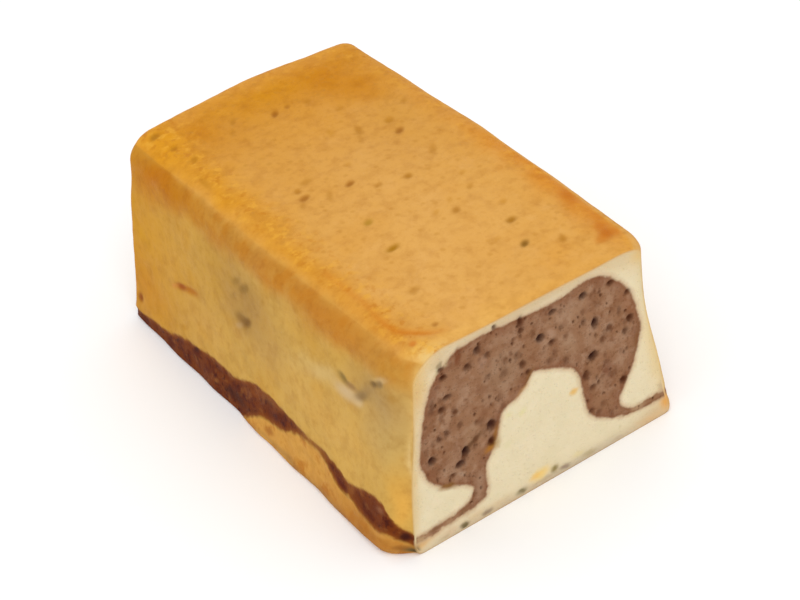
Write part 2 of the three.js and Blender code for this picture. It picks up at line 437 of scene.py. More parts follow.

# x, distance from the cut, half length, half width, turn, strength, colour
TOP_TINTS = [
    (0, 142, 60, 38, 0, 0.95, 211, 144, 46),
    (0, 138, 60, 26, 0, 0.9, 209, 139, 26),
    (-12, 90, 14, 24, 0, 0.5, 212, 149, 60),
    (16, 82, 12, 14, 0, 0.55, 207, 147, 66),
    (25, 92, 8, 14, 0, 0.45, 207, 145, 54),
    (19.5, 121, 11, 9, 80, 0.95, *CARAMEL),
    (25, 110, 8, 6, 80, 0.75, *CARAMEL),
    (3, 124, 10, 5.5, 5, 0.8, *AMBER),
    (-20.5, 123, 8, 5, 90, 0.8, *CARAMEL),
    (-20, 111, 6, 4.5, 0, 0.4, 204, 138, 48),
    (-12, 112, 4, 6, 0, 0.35, 206, 142, 54),
    (0, 135, 60, 6, 0, 0.8, 225, 160, 72),
    (-31, 122, 15, 5, 90, 0.75, *GILT),
    (-30, 92, 26, 5, 90, 0.85, 219, 150, 36),
    (-30.5, 50, 28, 4.8, 90, 0.9, 216, 148, 42),
    (-30.5, 20, 17, 4.4, 90, 0.75, 215, 144, 44),
    (34, 96, 30, 4, 90, 0.6, 213, 146, 56),
    (34.8, 46, 28, 4.5, 90, 0.95, 216, 136, 34),
    (34, 18, 14, 4, 90, 0.9, 215, 138, 44),
    (18.5, 11.5, 6, 3.5, 65, 0.5, 222, 156, 62),
    (3, 66, 30, 20, 90, 0.5, 223, 166, 88),
    (-2, 28, 26, 22, 0, 0.45, 228, 174, 98),
    (-14, 2, 20, 2.6, 0, 0.75, *PALE_GOLD),
    (16, 1.5, 16, 1.8, 0, 0.5, 230, 170, 80),
    (-31, 3, 4.5, 3.6, 0, 0.8, 235, 185, 90),
    (-32.5, 0, 7, 3, 0, 0.95, 231, 194, 124)]

# %% Broad tones of the left side
GREY_CLOUD = (178, 144, 92)
RUSSET = (196, 120, 26)

# distance from the cut, height, half length, half width, turn, strength, colour
SIDE_TINTS = [
    (146, 30, 46, 44, 0, 0.95, 205, 144, 36),
    (128, 32, 5, 4, 0, 0.45, 208, 154, 40),
    (128, 15, 13, 9, 0, 0.7, 200, 134, 40),
    (112, 56, 20, 5.4, 0, 0.9, 188, 118, 24),
    (122, 54.5, 10, 5, -20, 0.75, 192, 116, 16),
    (118, 49, 8, 3, -15, 0.5, 196, 130, 42),
    (36, 56.5, 16, 4.4, -5, 0.75, 191, 120, 38),
    (63, 57.5, 7, 3.5, 0, 0.55, 190, 120, 42),
    (17, 57, 14, 3.6, 0, 0.5, 196, 132, 52),
    (7, 43, 10, 10, 0, 0.8, 182, 148, 94),
    (14, 46, 8, 4, -20, 0.75, 174, 142, 90),
    (5, 34, 6, 8, 0, 0.55, 194, 164, 100),
    (70, 40, 13, 11, 20, 0.85, 174, 134, 74),
    (72, 45, 6, 2.4, -10, 0.35, 150, 112, 54),
    (72, 34, 4.5, 2.6, -10, 0.35, 150, 112, 58),
    (60, 31, 8, 6, -30, 0.45, 190, 148, 80),
    (88, 42, 8, 10, 20, 0.6, 188, 140, 52),
    (30, 27, 26, 9, 0, 0.6, 214, 168, 90),
    (18, 0.8, 17, 3, 0, 0.8, 178, 108, 40),
    (42, 9, 14, 3.5, 0, 0.55, 212, 160, 76),
    (31, 45, 11, 4, -15, 0.5, 206, 162, 70),
    (21, 47.5, 8, 4, -10, 0.65, 190, 146, 72),
    (8, 55, 8, 3.5, 0, 0.5, 192, 136, 48),
    (38, 47, 8, 3.5, 0, 0.5, 196, 144, 56),
    (78, 55, 8, 3.5, 0, 0.35, 186, 120, 36),
    (38, 40, 13, 3, -25, 0.6, 208, 174, 106),
    (46, 50, 7, 3.5, -30, 0.4, 202, 154, 70),
    (95, 21, 12, 7, -10, 0.4, 206, 158, 84),
    (0, 46, 0.8, 10, 0, 0.9, 219, 178, 104),
    (0, 57, 1.4, 5, 0, 0.9, 226, 182, 104),
    (12, 4.8, 13, 3.4, 0, 0.85, 174, 112, 46),
    # painted shade: a grey-brown line along the foot, where it meets the floor
    (36, 1.4, 36, 1.3, 0, 0.6, 150, 112, 68),
    (0.3, 29, 0.9, 7, 0, 0.85, 226, 194, 130),
    (1.5, 16, 2.4, 8, 0, 0.8, 226, 170, 78)]

# %% Pin holes of the top
BROWN_PIN = (156, 94, 12)
OLIVE_PIN = (172, 112, 6)
FAINT_PIN = (190, 128, 30)
RED_SPOT = (196, 108, 32)

# x, distance from the cut, half length, half width, turn, depth, strength, colour
TOP_MARKS = [
    (-30.3, 129.4, 1.4, 1.1, 20, 0.3, 0.8, 170, 112, 26),
    (-29.2, 120.3, 1.2, 0.9, 70, 0.2, 0.5, *OLIVE_PIN),
    (-27.9, 111.4, 1.5, 0.8, 60, 0.25, 0.6, *OLIVE_PIN),
    (-31.4, 100, 2.6, 0.9, 85, 0.15, 0.4, *OLIVE_PIN),
    (-0.3, 114.2, 1.5, 0.8, 50, 0.3, 0.8, *BROWN_PIN),
    (4.3, 115, 1.1, 0.7, 50, 0.2, 0.5, *BROWN_PIN),
    (-11.4, 118.7, 1.6, 0.7, 60, 0.15, 0.45, *OLIVE_PIN),
    (-14, 114.5, 1.4, 0.7, 55, 0.1, 0.35, *OLIVE_PIN),
    (9.7, 113, 1.3, 0.8, 70, 0.1, 0.35, *OLIVE_PIN),
    (14.7, 104.2, 1.1, 0.7, 40, 0.1, 0.35, *FAINT_PIN),
    (6.3, 95.9, 1.3, 0.9, 60, 0.1, 0.35, *FAINT_PIN),
    (28.6, 95.3, 1, 0.8, 40, 0.15, 0.45, *OLIVE_PIN),
    (12.7, 92, 1.9, 0.9, 70, 0.25, 0.6, *OLIVE_PIN),
    (10.8, 88.1, 1.3, 0.7, 55, 0.1, 0.35, *OLIVE_PIN),
    (21.1, 90.3, 1.3, 1.1, 60, 0.3, 0.7, 184, 124, 36),
    (20.4, 84.2, 1.4, 0.9, 40, 0.3, 0.8, *BROWN_PIN),
    (-11.7, 80.9, 1.7, 1, 10, 0.15, 0.45, *OLIVE_PIN),
    (-15.6, 78.7, 1.1, 0.9, 60, 0.25, 0.65, *OLIVE_PIN),
    (-15.9, 74.8, 1.4, 0.9, 20, 0.3, 0.75, *BROWN_PIN),
    (-18.1, 72, 1.1, 0.8, 60, 0.1, 0.4, *OLIVE_PIN),
    (-10.3, 71.4, 2.2, 0.8, 60, 0.1, 0.4, *OLIVE_PIN),
    (-3.3, 72.2, 1.4, 0.9, 20, 0.3, 0.8, *BROWN_PIN),
    (1.6, 80.3, 1, 0.7, 50, 0.1, 0.35, *FAINT_PIN),
    (1.9, 66.2, 1.3, 0.8, 20, 0.15, 0.5, *OLIVE_PIN),
    (10, 64.2, 1.2, 1, 40, 0.25, 0.75, *OLIVE_PIN),
    (21.6, 70.3, 2, 0.8, 60, 0.15, 0.45, *OLIVE_PIN),
    (-9.6, 54, 1.3, 1, 30, 0.25, 0.8, 176, 130, 40),
    (-10.9, 40.9, 1.8, 0.9, 10, 0.35, 0.95, 172, 118, 20),
    (10.2, 42.6, 1.2, 0.9, 50, 0.2, 0.65, *OLIVE_PIN),
    (5.8, 45.3, 1.2, 0.7, 50, 0.1, 0.4, *FAINT_PIN),
    (11.7, 47.6, 1.2, 0.7, 60, 0.1, 0.35, *FAINT_PIN),
    (18.6, 48.7, 1.1, 0.7, 50, 0.15, 0.45, *OLIVE_PIN),
    (20.8, 55.3, 1, 0.7, 40, 0.1, 0.35, *FAINT_PIN),
    (21, 37.6, 1.1, 0.7, 50, 0.15, 0.45, *FAINT_PIN),
    (18.2, 30.1, 1.3, 1, 20, 0.35, 0.85, 166, 110, 24),
    (15, 20, 1.3, 0.9, 40, 0.35, 0.9, 134, 92, 30),
    (-17, 22.9, 1.4, 1, 20, 0.15, 0.5, *OLIVE_PIN),
    (22.7, 15.1, 1.4, 0.8, 70, 0.2, 0.6, *OLIVE_PIN),
    (10.8, 25.9, 1.1, 0.7, 20, 0.1, 0.3, *FAINT_PIN),
    (-20.7, 8.7, 0.9, 0.7, 20, 0.2, 0.5, *BROWN_PIN),
    (-29.2, 6.4, 1, 0.8, 10, 0.2, 0.65, 206, 116, 40),
    (31.3, 9.7, 2.1, 1.7, 60, 0.15, 0.85, 190, 104, 26),
    (31.9, 13, 1.8, 1.4, 20, 0.1, 0.7, 196, 112, 30),
    (33.7, 8.8, 1.7, 1.3, 40, 0.1, 0.6, 200, 116, 32),
    (29.2, 8.2, 1.7, 1.2, 10, 0.05, 0.6, 204, 122, 38),
    (33.8, 15, 3.4, 1.8, 80, 0.05, 0.5, 206, 124, 36),
    (33.4, 28.4, 4.2, 1.9, 70, 0.1, 0.75, 198, 114, 30)]

# %% Slits of the left side
OLIVE_SLIT = (122, 94, 46)
PALE_EDGE = (216, 186, 138)

# distance from the cut, height, half length, half width, turn, depth, strength, colour
SIDE_MARKS = [
    (100.8, 28, 4.2, 1.3, -12, 0.3, 0.8, 176, 104, 26),
    (106, 26.7, 2.8, 1.2, -16, 0.4, 0.9, 158, 78, 16),
    (109.5, 25.2, 2, 0.8, -30, 0.1, 0.5, 210, 132, 66),
    (71, 45.2, 3.2, 1.2, -38, 0.25, 0.65, 138, 104, 48),
    (75, 45.4, 2.8, 1.1, -38, 0.2, 0.55, 144, 108, 50),
    (77, 39.8, 2, 0.8, -35, 0.1, 0.35, 156, 120, 64),
    (71, 34.2, 3.2, 1.4, -35, 0.4, 0.85, 120, 82, 38),
    (73.8, 34.4, 2.4, 1.6, -20, 0.2, 0.65, 134, 98, 52),
    (74.6, 31.4, 2.2, 0.9, -35, 0.05, 0.45, 186, 154, 112),
    (8.8, 52.2, 3, 0.9, -30, 0.05, 0.4, *PALE_EDGE),
    (9.5, 50.6, 1.8, 1, -32, 0.3, 0.75, 132, 106, 70),
    (12, 49.2, 1.6, 0.9, -32, 0.4, 0.85, 116, 88, 50),
    (14.5, 46.2, 3.6, 1.2, -35, 0.1, 0.4, 160, 128, 84),
    (23, 40.4, 5.6, 2.1, -8, 0.1, 0.75, 207, 180, 140),
    (18.2, 40.4, 2.2, 1.2, -20, 0.1, 0.6, *PALE_EDGE),
    (17, 42.8, 3.4, 1.4, -35, 0.25, 0.8, 136, 108, 72),
    (21.6, 43.2, 2.8, 1, -8, 0.2, 0.75, 146, 110, 72),
    (25, 43.8, 2, 1.3, 15, 0.35, 0.8, 120, 96, 44),
    (34, 39.5, 8, 2, -25, 0.05, 0.35, 216, 186, 128),
    (4.6, 49.2, 1.4, 1.3, 0, 0.15, 0.55, 172, 126, 56),
    (131.5, 9.2, 1.9, 1.5, -40, 0.25, 0.9, 142, 72, 20),
    (105, 13.4, 2.6, 1, -30, 0.05, 0.45, 190, 134, 44),
    (60.5, 4.9, 2.6, 1.2, -15, 0.1, 0.75, 164, 98, 38),
    (16, 5.2, 4, 1, -4, 0.05, 0.45, 190, 124, 44),
    (45, 4.4, 3, 1, -8, 0.05, 0.45, 186, 120, 44),
    (38.5, 14.6, 6.5, 1.7, 0, 0, 0.5, 164, 110, 50),
    (81.5, 10.6, 1.6, 1, 0, 0, 0.45, 146, 96, 56),
    (20.3, 11.8, 1.6, 1.6, 70, 0.1, 0.5, 152, 92, 40),
    (9, 12.8, 3.6, 1, -12, 0.1, 0.45, 88, 40, 14),
    (15.5, 12.2, 2.4, 0.9, 24, 0.1, 0.45, 90, 42, 16),
    (60, 11.2, 4, 1.2, -5, 0.1, 0.4, 84, 36, 14),
    (60, 14.8, 5, 1.3, 0, 0, 0.45, 146, 92, 52),
    (68, 12.6, 4, 1.4, -24, 0, 0.4, 146, 82, 40),
    (88, 9.4, 3.6, 1, 0, 0.1, 0.4, 80, 34, 14),
    (1.8, 6.6, 0.9, 1.4, 0, 0.3, 0.95, 62, 30, 14),
    (2.4, 3.2, 1.4, 1, 0, 0.15, 0.7, 140, 88, 38),
    (7.5, 6.2, 3, 0.7, -6, 0.1, 0.5, 206, 152, 78),
    # painted shade: a dark grey-olive spot at the near foot corner, by the floor
    (0.4, 1.8, 1.8, 1.5, 0, 0.1, 0.95, 78, 68, 44),
    (7.6, 13.8, 1.6, 1.1, -20, 0, 0.45, 152, 100, 70),
    (99.5, 8.9, 1.6, 0.9, -30, 0.15, 0.8, 60, 24, 10),
    (78.5, 5, 6, 2, 0, 0.1, 0.7, 62, 30, 16),
    (88.5, 4.8, 1.5, 0.8, -30, 0, 0.5, 160, 104, 54),
    (25, 11.2, 3, 1, 18, 0.1, 0.6, 86, 30, 8),
    (12, 10.4, 4, 1.2, 0, 0.1, 0.3, 86, 40, 20)]

# %% The same kinds of blemish where no light fell on them
HIDDEN_SEED = 41
HIDDEN_COLOURS = [OLIVE_SLIT, PALE_EDGE, RED_SPOT]
# place along, place up, half length, half width, turn, depth, strength
HIDDEN_RANGES = [(0.08, 0.92), (0.25, 0.8), (1.2, 4.5), (0.8, 1.5), (-15, 15), (0.2, 0.4),
                 (0.4, 0.7)]
hidden_chance = np.random.default_rng(HIDDEN_SEED)


def scattered_marks(count, wide, high):
    """Ovals at chance places of a wide by high face."""
    marks = []
    for _ in range(count):
        along, up, *rest = [hidden_chance.uniform(*limits) for limits in HIDDEN_RANGES]
        colour = HIDDEN_COLOURS[hidden_chance.integers(len(HIDDEN_COLOURS))]
        marks.append((along * wide, up * high, *rest, *colour))
    return marks


FAR_MARKS = scattered_marks(5, TOP_WIDTH, HEIGHT)
FAR_TINTS = [
    (24, 38, 12, 9, 0, 0.6, *GREY_CLOUD), (52, 30, 10, 8, 0, 0.4, 204, 158, 78),
    (36, 53, 40, 6, 0, 0.6, *RUSSET), (36, 12, 40, 8, 0, 0.5, 200, 136, 44),
    (-4, 30, 22, 44, 0, 0.95, 205, 144, 36), (76, 26, 20, 26, 0, 0.65, *AMBER)]
RIGHT_MARKS = scattered_marks(8, LENGTH, HEIGHT)
RIGHT_TINTS = [
    (34, 40, 15, 8, 8, 0.6, *GREY_CLOUD), (88, 33, 14, 10, 0, 0.6, *GREY_CLOUD),
    (60, 24, 24, 8, 0, 0.4, 212, 166, 90), (126, 26, 24, 26, 0, 0.7, *AMBER),
    (60, 55, 60, 5, 0, 0.5, *RUSSET), (-1, 30, 5, 26, 0, 1, 229, 198, 136)]
print("marks:", len(TOP_MARKS), "top,", len(SIDE_MARKS), "left,",
      len(FAR_MARKS), "far,", len(RIGHT_MARKS), "right")


# %% How strongly each mark or tone shows at each point
OVAL_CRISPNESS = 1.5


def away_from(flat, mark):
    """Square of the distance from a mark's middle, as a share of its half sizes."""
    du, dv = flat[:, 0] - mark[0], flat[:, 1] - mark[1]
    turn = math.radians(mark[4])
    lengthwise = (du * math.cos(turn) + dv * math.sin(turn)) / mark[2]
    crosswise = (dv * math.cos(turn) - du * math.sin(turn)) / mark[3]
    return lengthwise ** 2 + crosswise ** 2


def soft_oval(flat, mark):
    """1 in the middle, fading slowly."""
    return np.exp(-away_from(flat, mark))


def oval(flat, mark, swell=1.0):
    """1 in the middle, with a crisper edge; swell widens the whole oval."""
    return np.exp(-(away_from(flat, mark) / swell ** 2) ** OVAL_CRISPNESS)


# %% [markdown]
# Pin holes are smaller than the grid's squares, so the grid is cut finer just
# round them, before anything is moved. Cutting the whole crust that fine would
# take ten times the faces.

# %% Finer squares round the small marks
SMALL_MARK = 1.7
FAINTEST = 0.02
ON_FACE = 1e-3


def faces_of(block):
    """Which points of the block lie on its top, left, far and right faces."""
    x, y, z = block.T
    return {
        "top": z > HEIGHT - ON_FACE, "left": x < ON_FACE - TOP_WIDTH / 2,
        "far": y > LENGTH - ON_FACE, "right": x > TOP_WIDTH / 2 - ON_FACE}


def flat_of(face, block):
    """Two measures in millimetres that say where a point lies on its face."""
    x, y, z = block.T
    if face == "top":
        return np.stack([x, y], 1)
    if face == "far":
        return np.stack([x + TOP_WIDTH / 2, z], 1)
    return np.stack([y, z], 1)


MARKS = {"top": TOP_MARKS, "left": SIDE_MARKS, "far": FAR_MARKS, "right": RIGHT_MARKS}
TINTS = {"top": TOP_TINTS, "left": SIDE_TINTS, "far": FAR_TINTS, "right": RIGHT_TINTS}

block = block_points(crust)
on_face = faces_of(block)
fine = np.zeros(len(block), bool)
for face, marks in MARKS.items():
    flat = flat_of(face, block)
    for mark in marks:
        if mark[3] < SMALL_MARK:
            fine |= on_face[face] & (oval(flat, mark) > FAINTEST)
crust.verts.ensure_lookup_table()
fine_edges = [edge for edge in crust.edges
              if fine[edge.verts[0].index] or fine[edge.verts[1].index]]
bmesh.ops.subdivide_edges(crust, edges=fine_edges, cuts=2, use_grid_fill=True)
print("crust with fine patches:", len(crust.faces), "faces")

# %% [markdown]
# ## The cocoa streak and the toasted band
#
# Three lines run round the loaf at heights that change: the upper and the
# lower edge of the cocoa streak, and the lower edge of the toasted band. They
# are laid out along the wall, from the cut along the left side, over the far
# end and back along the right side, so that one rule serves all three walls.

# %% Lines round the loaf
END_RUN = 84
LINE_ROUNDING = (-1.5, -0.5, 0.5, 1.5)

# distance along the wall, height
COCOA_TOP = [
    (0, 7.4), (1.5, 8.2), (3, 10.4), (4, 13), (5.5, 15.9), (8, 17), (11, 17), (15, 15.8),
    (18, 14.5), (21, 13.8), (25, 14.9), (29, 15.7), (33, 16), (37, 15.7), (42, 15.7),
    (48, 15.8), (55, 15.8), (60, 16.5), (65, 16.4), (70, 15.4), (75, 13.1), (80, 11.2),
    (84, 12), (90, 11.5), (95, 11.1), (100, 10.1), (106, 9.2), (110, 8.1), (115, 6.1),
    (120, 5.5), (126, 4.8), (132, 4), (145, 4.4), (156, 7.4), (164, 8.6), (172, 6.4),
    (180, 7.2), (192, 11.4), (200, 11.8), (208, 8.8), (216, 6.8), (226, 7.2), (238, 10.4),
    (248, 13.6), (256, 14.2), (266, 12), (278, 9.6), (290, 11.4), (302, 15.6), (312, 16.2),
    (322, 14), (334, 10.8), (344, 9.2), (356, 8.7)]
COCOA_FOOT = [
    (0, 3.8), (2, 4), (3, 6.4), (4.5, 7.9), (7, 7.2), (10, 7), (13.5, 7.5), (17, 8.2),
    (18.8, 9.1), (19.8, 9.7), (20.8, 9), (24, 8.9), (27, 10.1), (30, 11.7), (33, 13.2),
    (35.5, 14.1), (39, 14), (43, 13.6), (47, 12.9), (50, 11.2), (52.5, 9.7), (55.5, 8.7),
    (59, 8.4), (62.5, 7.7), (66, 6.2), (70, 4), (74, 0.8), (79, -2), (132, -3), (150, -2),
    (160, 1.6), (166, 3.6), (172, 4.6), (180, 4.4), (190, 3.2), (200, 2.4), (208, 1.2),
    (220, -2), (232, 1.2), (240, 5.6), (247, 10.2), (252, 12.2), (258, 12.4), (266, 9.6),
    (276, 4.4), (288, 3.4), (298, 7.6), (306, 13.2), (312, 14.8), (318, 12.6), (326, 7.2),
    (338, 5), (348, 5.6), (356, 6.4)]
TOAST_FOOT = [
    (0, 52), (10, 53.5), (22, 52), (33, 51), (40, 49), (50, 53.5), (60, 52.5), (75, 53.5),
    (85, 51), (95, 51.5), (110, 50.5), (120, 48), (131, 46), (150, 44), (170, 47),
    (190, 50), (210, 46), (232, 48), (255, 51), (280, 52), (305, 48.5), (330, 50), (356, 50)]


def along_wall(block):
    """Distance round the wall of the loaf from the left end of the cut."""
    x, y, _ = block.T
    left, right_gap, far = x + TOP_WIDTH / 2, TOP_WIDTH / 2 - x, LENGTH - y
    run = np.where(left <= right_gap, y, 2 * LENGTH + END_RUN - y)
    at_end = far < np.minimum(left, right_gap) + ON_FACE
    return np.where(at_end, LENGTH + left / TOP_WIDTH * END_RUN, run)


def line_height(line, run):
    """Height of a line at each place along the wall, its corners rounded."""
    stations, heights = np.array(line, float).T
    near = [np.interp(run + step, stations, heights) for step in LINE_ROUNDING]
    return sum(near) / len(near)


# %% Measure the crust
FRAY = [(0.45, 3.2, 3), (0.35, 1.4, 4)]
TOAST_DRIFT = (2.5, 11, 5)
TOP_DRIFT = (0.5, 6, 6)
LIP_START = (-0.2, 0.8)
TOAST_START = (-3, 3)
TOAST_END = (58.4, 60.4)
TOP_START = (57.6, 59.7)
# where a warm stripe of the top lies, its width and its strength
LEFT_STRIPE = (-28.5, 5.5)
RIGHT_STRIPE, RIGHT_STRIPE_SHARE = (35, 5), 0.6
FAR_STRIPE, FAR_STRIPE_SHARE = (LENGTH, 16), 0.5

block = block_points(crust)
loaf = standing(block)
on_face = faces_of(block)
run = along_wall(block)
x, y, z = block.T
from_cut = loaf[:, 1] - CUT_Y
inward = np.minimum.reduce([x + TOP_WIDTH / 2, TOP_WIDTH / 2 - x, LENGTH - y])
underside = z < ON_FACE
height = np.where(underside, -inward, loaf[:, 2])

cocoa_foot = line_height(COCOA_FOOT, run)
cocoa = np.minimum(line_height(COCOA_TOP, run) - height, height - cocoa_foot)
cocoa += rough(loaf, *FRAY)
lip = ease(cocoa_foot - height, *LIP_START)
toast_foot = line_height(TOAST_FOOT, run) + rough(loaf, TOAST_DRIFT)
toast = ease(height - toast_foot, *TOAST_START) * (1 - ease(loaf[:, 2], *TOAST_END))
top = ease(loaf[:, 2] + rough(loaf, TOP_DRIFT), *TOP_START)
warm = stripe(x, *LEFT_STRIPE) + RIGHT_STRIPE_SHARE * stripe(x, *RIGHT_STRIPE)
warm = np.clip(warm + FAR_STRIPE_SHARE * stripe(y, *FAR_STRIPE), 0, 1) * top
print("cocoa covers", round(100 * float((cocoa > 0).mean())), "% of the crust's points")

# %% Gather the marks
PIN_SWELL = 1.2
TINT_DRIFT = (3, 9, 31)
EDGE_FADE = (-1.5, 1.5)
CUT_REACH = 3
BLANK = (200, 140, 60)
WRINKLE = rounded([(-29, 44), (-29, 34.8), (-28.8, 27), (-29.8, 20), (-29.4, 13.7),
                   (-26.6, 9.4), (-23.2, 6.6), (-18, 4.8)])
WRINKLE_COLOUR = (205, 122, 34)
WRINKLE_WIDTH = 1.1
WRINKLE_DEPTH = 0.3
WRINKLE_STRENGTH = 0.8
FADE_SHARE = 0.75
FAR_FADE = (-24, -12)
FAR_STRENGTH = 0.45
BARELY = 1e-4


def bare(colour, count):
    """No strength and one colour at each of so many points, to lay others on."""
    return np.zeros(count), np.tile(np.array(shade(*colour)), (count, 1))


def lay(strength, colour, total, colours):
    """Lays one colour over those so far, as strongly as it shows, and adds up the total."""
    joined = 1 - (1 - total) * (1 - strength)
    share = np.divide(
        strength, joined, out=np.zeros_like(strength), where=strength > BARELY)
    colours += (np.array(colour) - colours) * share[:, None]
    total[:] = joined


mark, mark_colour = bare(BLANK, len(block))
tint, tint_colour = bare(BLANK, len(block))
mark_depth = np.zeros(len(block))
drift_of_tints = astray(loaf, *TINT_DRIFT)
for face in MARKS:
    flat = flat_of(face, block)
    from_edge = inward if face == "top" else HEIGHT - z
    where = on_face[face] * np.maximum(ease(from_edge, *EDGE_FADE), np.exp(-y / CUT_REACH))
    for one in TINTS[face]:
        shown = one[5] * soft_oval(flat + drift_of_tints, one) * where
        lay(shown, shade(*one[6:]), tint, tint_colour)
    for one in MARKS[face]:
        shown = oval(flat, one, PIN_SWELL if face == "top" else 1) * where
        mark_depth += one[5] * shown
        lay(one[6] * shown, shade(*one[7:]), mark, mark_colour)

gap, place = near_path(flat_of("top", block), WRINKLE)
crease = stripe(gap, 0, WRINKLE_WIDTH) * on_face["top"]
crease *= 1 - ease(place, len(WRINKLE) * FADE_SHARE, len(WRINKLE))
crease *= ramp(FAR_STRENGTH, 1, ease(-y, *FAR_FADE))
mark_depth += WRINKLE_DEPTH * crease
lay(WRINKLE_STRENGTH * crease, shade(*WRINKLE_COLOUR), mark, mark_colour)
print("marked points:", int((mark > 0.1).sum()))

# %% [markdown]
# The knife cut the crust too, so its edge is no golden line: it has the cream
# of the cut, browned a little and unevenly. The same tones are laid on the
# crust's own edge, on the rim and on the crumb beside it.

# %% Tones of the cut where it meets the crust
CREAM = (228, 213, 178)

# x, height, half length, half width, turn, strength, colour
EDGE_TINTS = [
    (6, 61.4, 40, 1.6, 0, 0.85, 213, 172, 112),
    (0, 59.4, 34, 2, 0, 0.75, 202, 176, 138),
    (28, 59.2, 9, 4.2, -20, 0.8, 214, 190, 148),
    (-38, 64.5, 9, 6, -35, 0.95, 231, 178, 86),
    (-38.6, 24, 26, 2.4, 84, 0.85, 216, 184, 128),
    (-37.2, 42, 18, 1.7, 78, 0.9, 216, 172, 96),
    (-34, 57, 5, 2.8, 70, 0.85, 221, 179, 106),
    (-33.4, 48, 10, 2.8, 75, 0.65, 216, 186, 138),
    (36, 57.6, 3.2, 3.2, 0, 0.85, 221, 180, 110),
    (36.6, 53, 3.2, 4.6, 0, 0.65, 216, 192, 144),
    (-33.4, 51, 2.6, 4.2, 0, 0.55, 214, 174, 106),
    (-38.2, 39, 2.2, 5, 0, 0.5, 190, 150, 80),
    (-27, 57, 3.2, 1.6, 30, 0.45, 190, 158, 118),
    (-36, 3.4, 4, 1.2, 10, 0.5, 222, 176, 124),
    (-28.6, 2.2, 3, 1.2, 0, 0.5, 218, 176, 140),
    (-21, 2.4, 3, 1.3, 0, 0.45, 216, 178, 130),
    (-14, 2.2, 3, 1.2, 0, 0.4, 220, 184, 134),
    (40.7, 26, 21, 3.8, 97, 0.9, 224, 193, 134),
    (36.6, 46.3, 1.6, 0.8, 95, 0.7, 184, 168, 140),
    (39, 3, 6, 3, 0, 0.7, 210, 180, 138),
    (42.6, 4.6, 4, 1.7, 97, 0.95, 228, 166, 88),
    (37, 1, 5.5, 1.4, 0, 0.8, 226, 182, 126),
    (-2, 0.2, 44, 2.4, 0, 0.9, 201, 177, 143),
    (14, 0.8, 14, 1.8, 0, 0.6, 196, 182, 156),
    (-38.6, 3.2, 2.6, 1.7, 0, 0.7, 220, 170, 98),
    # painted shade: a dark grey-olive spot on the rim at the near foot corner, by the floor
    (-40.8, 2.6, 1.6, 1.8, -35, 0.85, 118, 96, 62)]


def edge_tone(x, z):
    """Strength and colour of the browning at places of the cut, and of the painted shade at
    its near foot corner.
    """
    strength, colours = bare(CREAM, len(x))
    for one in EDGE_TINTS:
        lay(one[5] * soft_oval(np.stack([x, z], 1), one), shade(*one[6:]), strength, colours)
    return strength, colours


def edge_colour(x, z):
    """The cream of the cut's edge, as brown as it is at these places."""
    strength, colours = edge_tone(x, z)
    cream = np.array(shade(*CREAM))
    return cream + (colours - cream) * strength[:, None]


# %% Let the crust's edge take the tones of the cut
EDGE_BLEND = 0.65
at_cut = y < ON_FACE
lay(EDGE_BLEND * at_cut, edge_colour(loaf[:, 0], loaf[:, 2]), mark, mark_colour)
print("points on the crust's edge:", int(at_cut.sum()))

# %% [markdown]
# ## The crust's relief
#
# The crust isn't as smooth as the form: it has low swellings, it dips along
# the cocoa streak, where the batter was denser, and it bulges in the lip under
# it. Each point moves along its own normal. The relief dies away at the cut and
# at the foot, so the cut stays flat and the cake still stands on one plane.

# %% Move the crust onto the loaf
# height, size and seed of each layer of lumps
WALL_RELIEF = [(0.3, 10, 11), (0.12, 4, 12)]
TOP_RELIEF = [(0.12, 9, 13), (0.05, 3, 14)]
WARM_RELIEF = [(0.09, 4.5, 15), (0.06, 2.2, 17)]
LIP_RELIEF = (0.3, 6, 16)
LIP_DIP = 0.25
STREAK_DIP = 0.3
STREAK_DIP_BELOW = 0.35
BELOW = (-6, -2)
STREAK_EDGE = (-0.6, 1)
STILL_AT_CUT = (-0.5, 5)
STILL_AT_FOOT = (0, 1.4)

for vert, spot in zip(crust.verts, loaf):
    vert.co = spot
crust.normal_update()
normals = np.array([v.normal[:] for v in crust.verts])
relief = (1 - top) * rough(loaf, *WALL_RELIEF)
relief += top * rough(loaf, *TOP_RELIEF)
relief += warm * rough(loaf, *WARM_RELIEF)
relief += lip * (rough(loaf, LIP_RELIEF) - LIP_DIP)
dip = STREAK_DIP + STREAK_DIP_BELOW * ease(-loaf[:, 2], *BELOW)
relief -= dip * ease(cocoa, *STREAK_EDGE)
relief -= mark_depth
relief *= ease(from_cut, *STILL_AT_CUT) * ease(loaf[:, 2], *STILL_AT_FOOT)
crust_points = loaf + normals * relief[:, None]
print("relief from", round(relief.min(), 2), "to", round(relief.max(), 2), "mm")

# %% Keep the measures on the mesh
def keep(mesh, points, measures, colours):
    """Moves each corner to its point and keeps its measures and colours on it."""
    layers = {name: mesh.verts.layers.float.new(name) for name in measures}
    for name in colours:
        layers[name] = mesh.verts.layers.float_color.new(name)
    values = {**measures, **colours}
    for i, vert in enumerate(mesh.verts):
        vert.co = points[i] * MM
        for name, layer in layers.items():
            vert[layer] = values[name][i]
    return layers


layers = keep(crust, crust_points, {
    "cocoa": cocoa, "lip": lip, "toast": toast, "top": top, "warm": warm, "mark": mark,
    "tint": tint, "underside": underside * 1.0, "rim": np.zeros(len(block))},
    {"mark_colour": mark_colour, "tint_colour": tint_colour})
print("kept on the crust:", ", ".join(layers))

# %% [markdown]
# At the cut the crust shows as a rim half a millimetre thick, then the crumb
# begins. The open edge is extruded twice: once inwards for the rim, and once
# back into the loaf for a pocket that the crumb sits in. A last face closes
# the pocket, so the crust is one closed solid.

# %% The rim and the pocket behind it
RIM = 0.55
CRUMB_OVERLAP = 0.12
POCKET_DEPTH = 6
CUT_MIDDLE = np.array([0, HEIGHT / 2])
CUT_HALF = np.array([41, HEIGHT / 2])


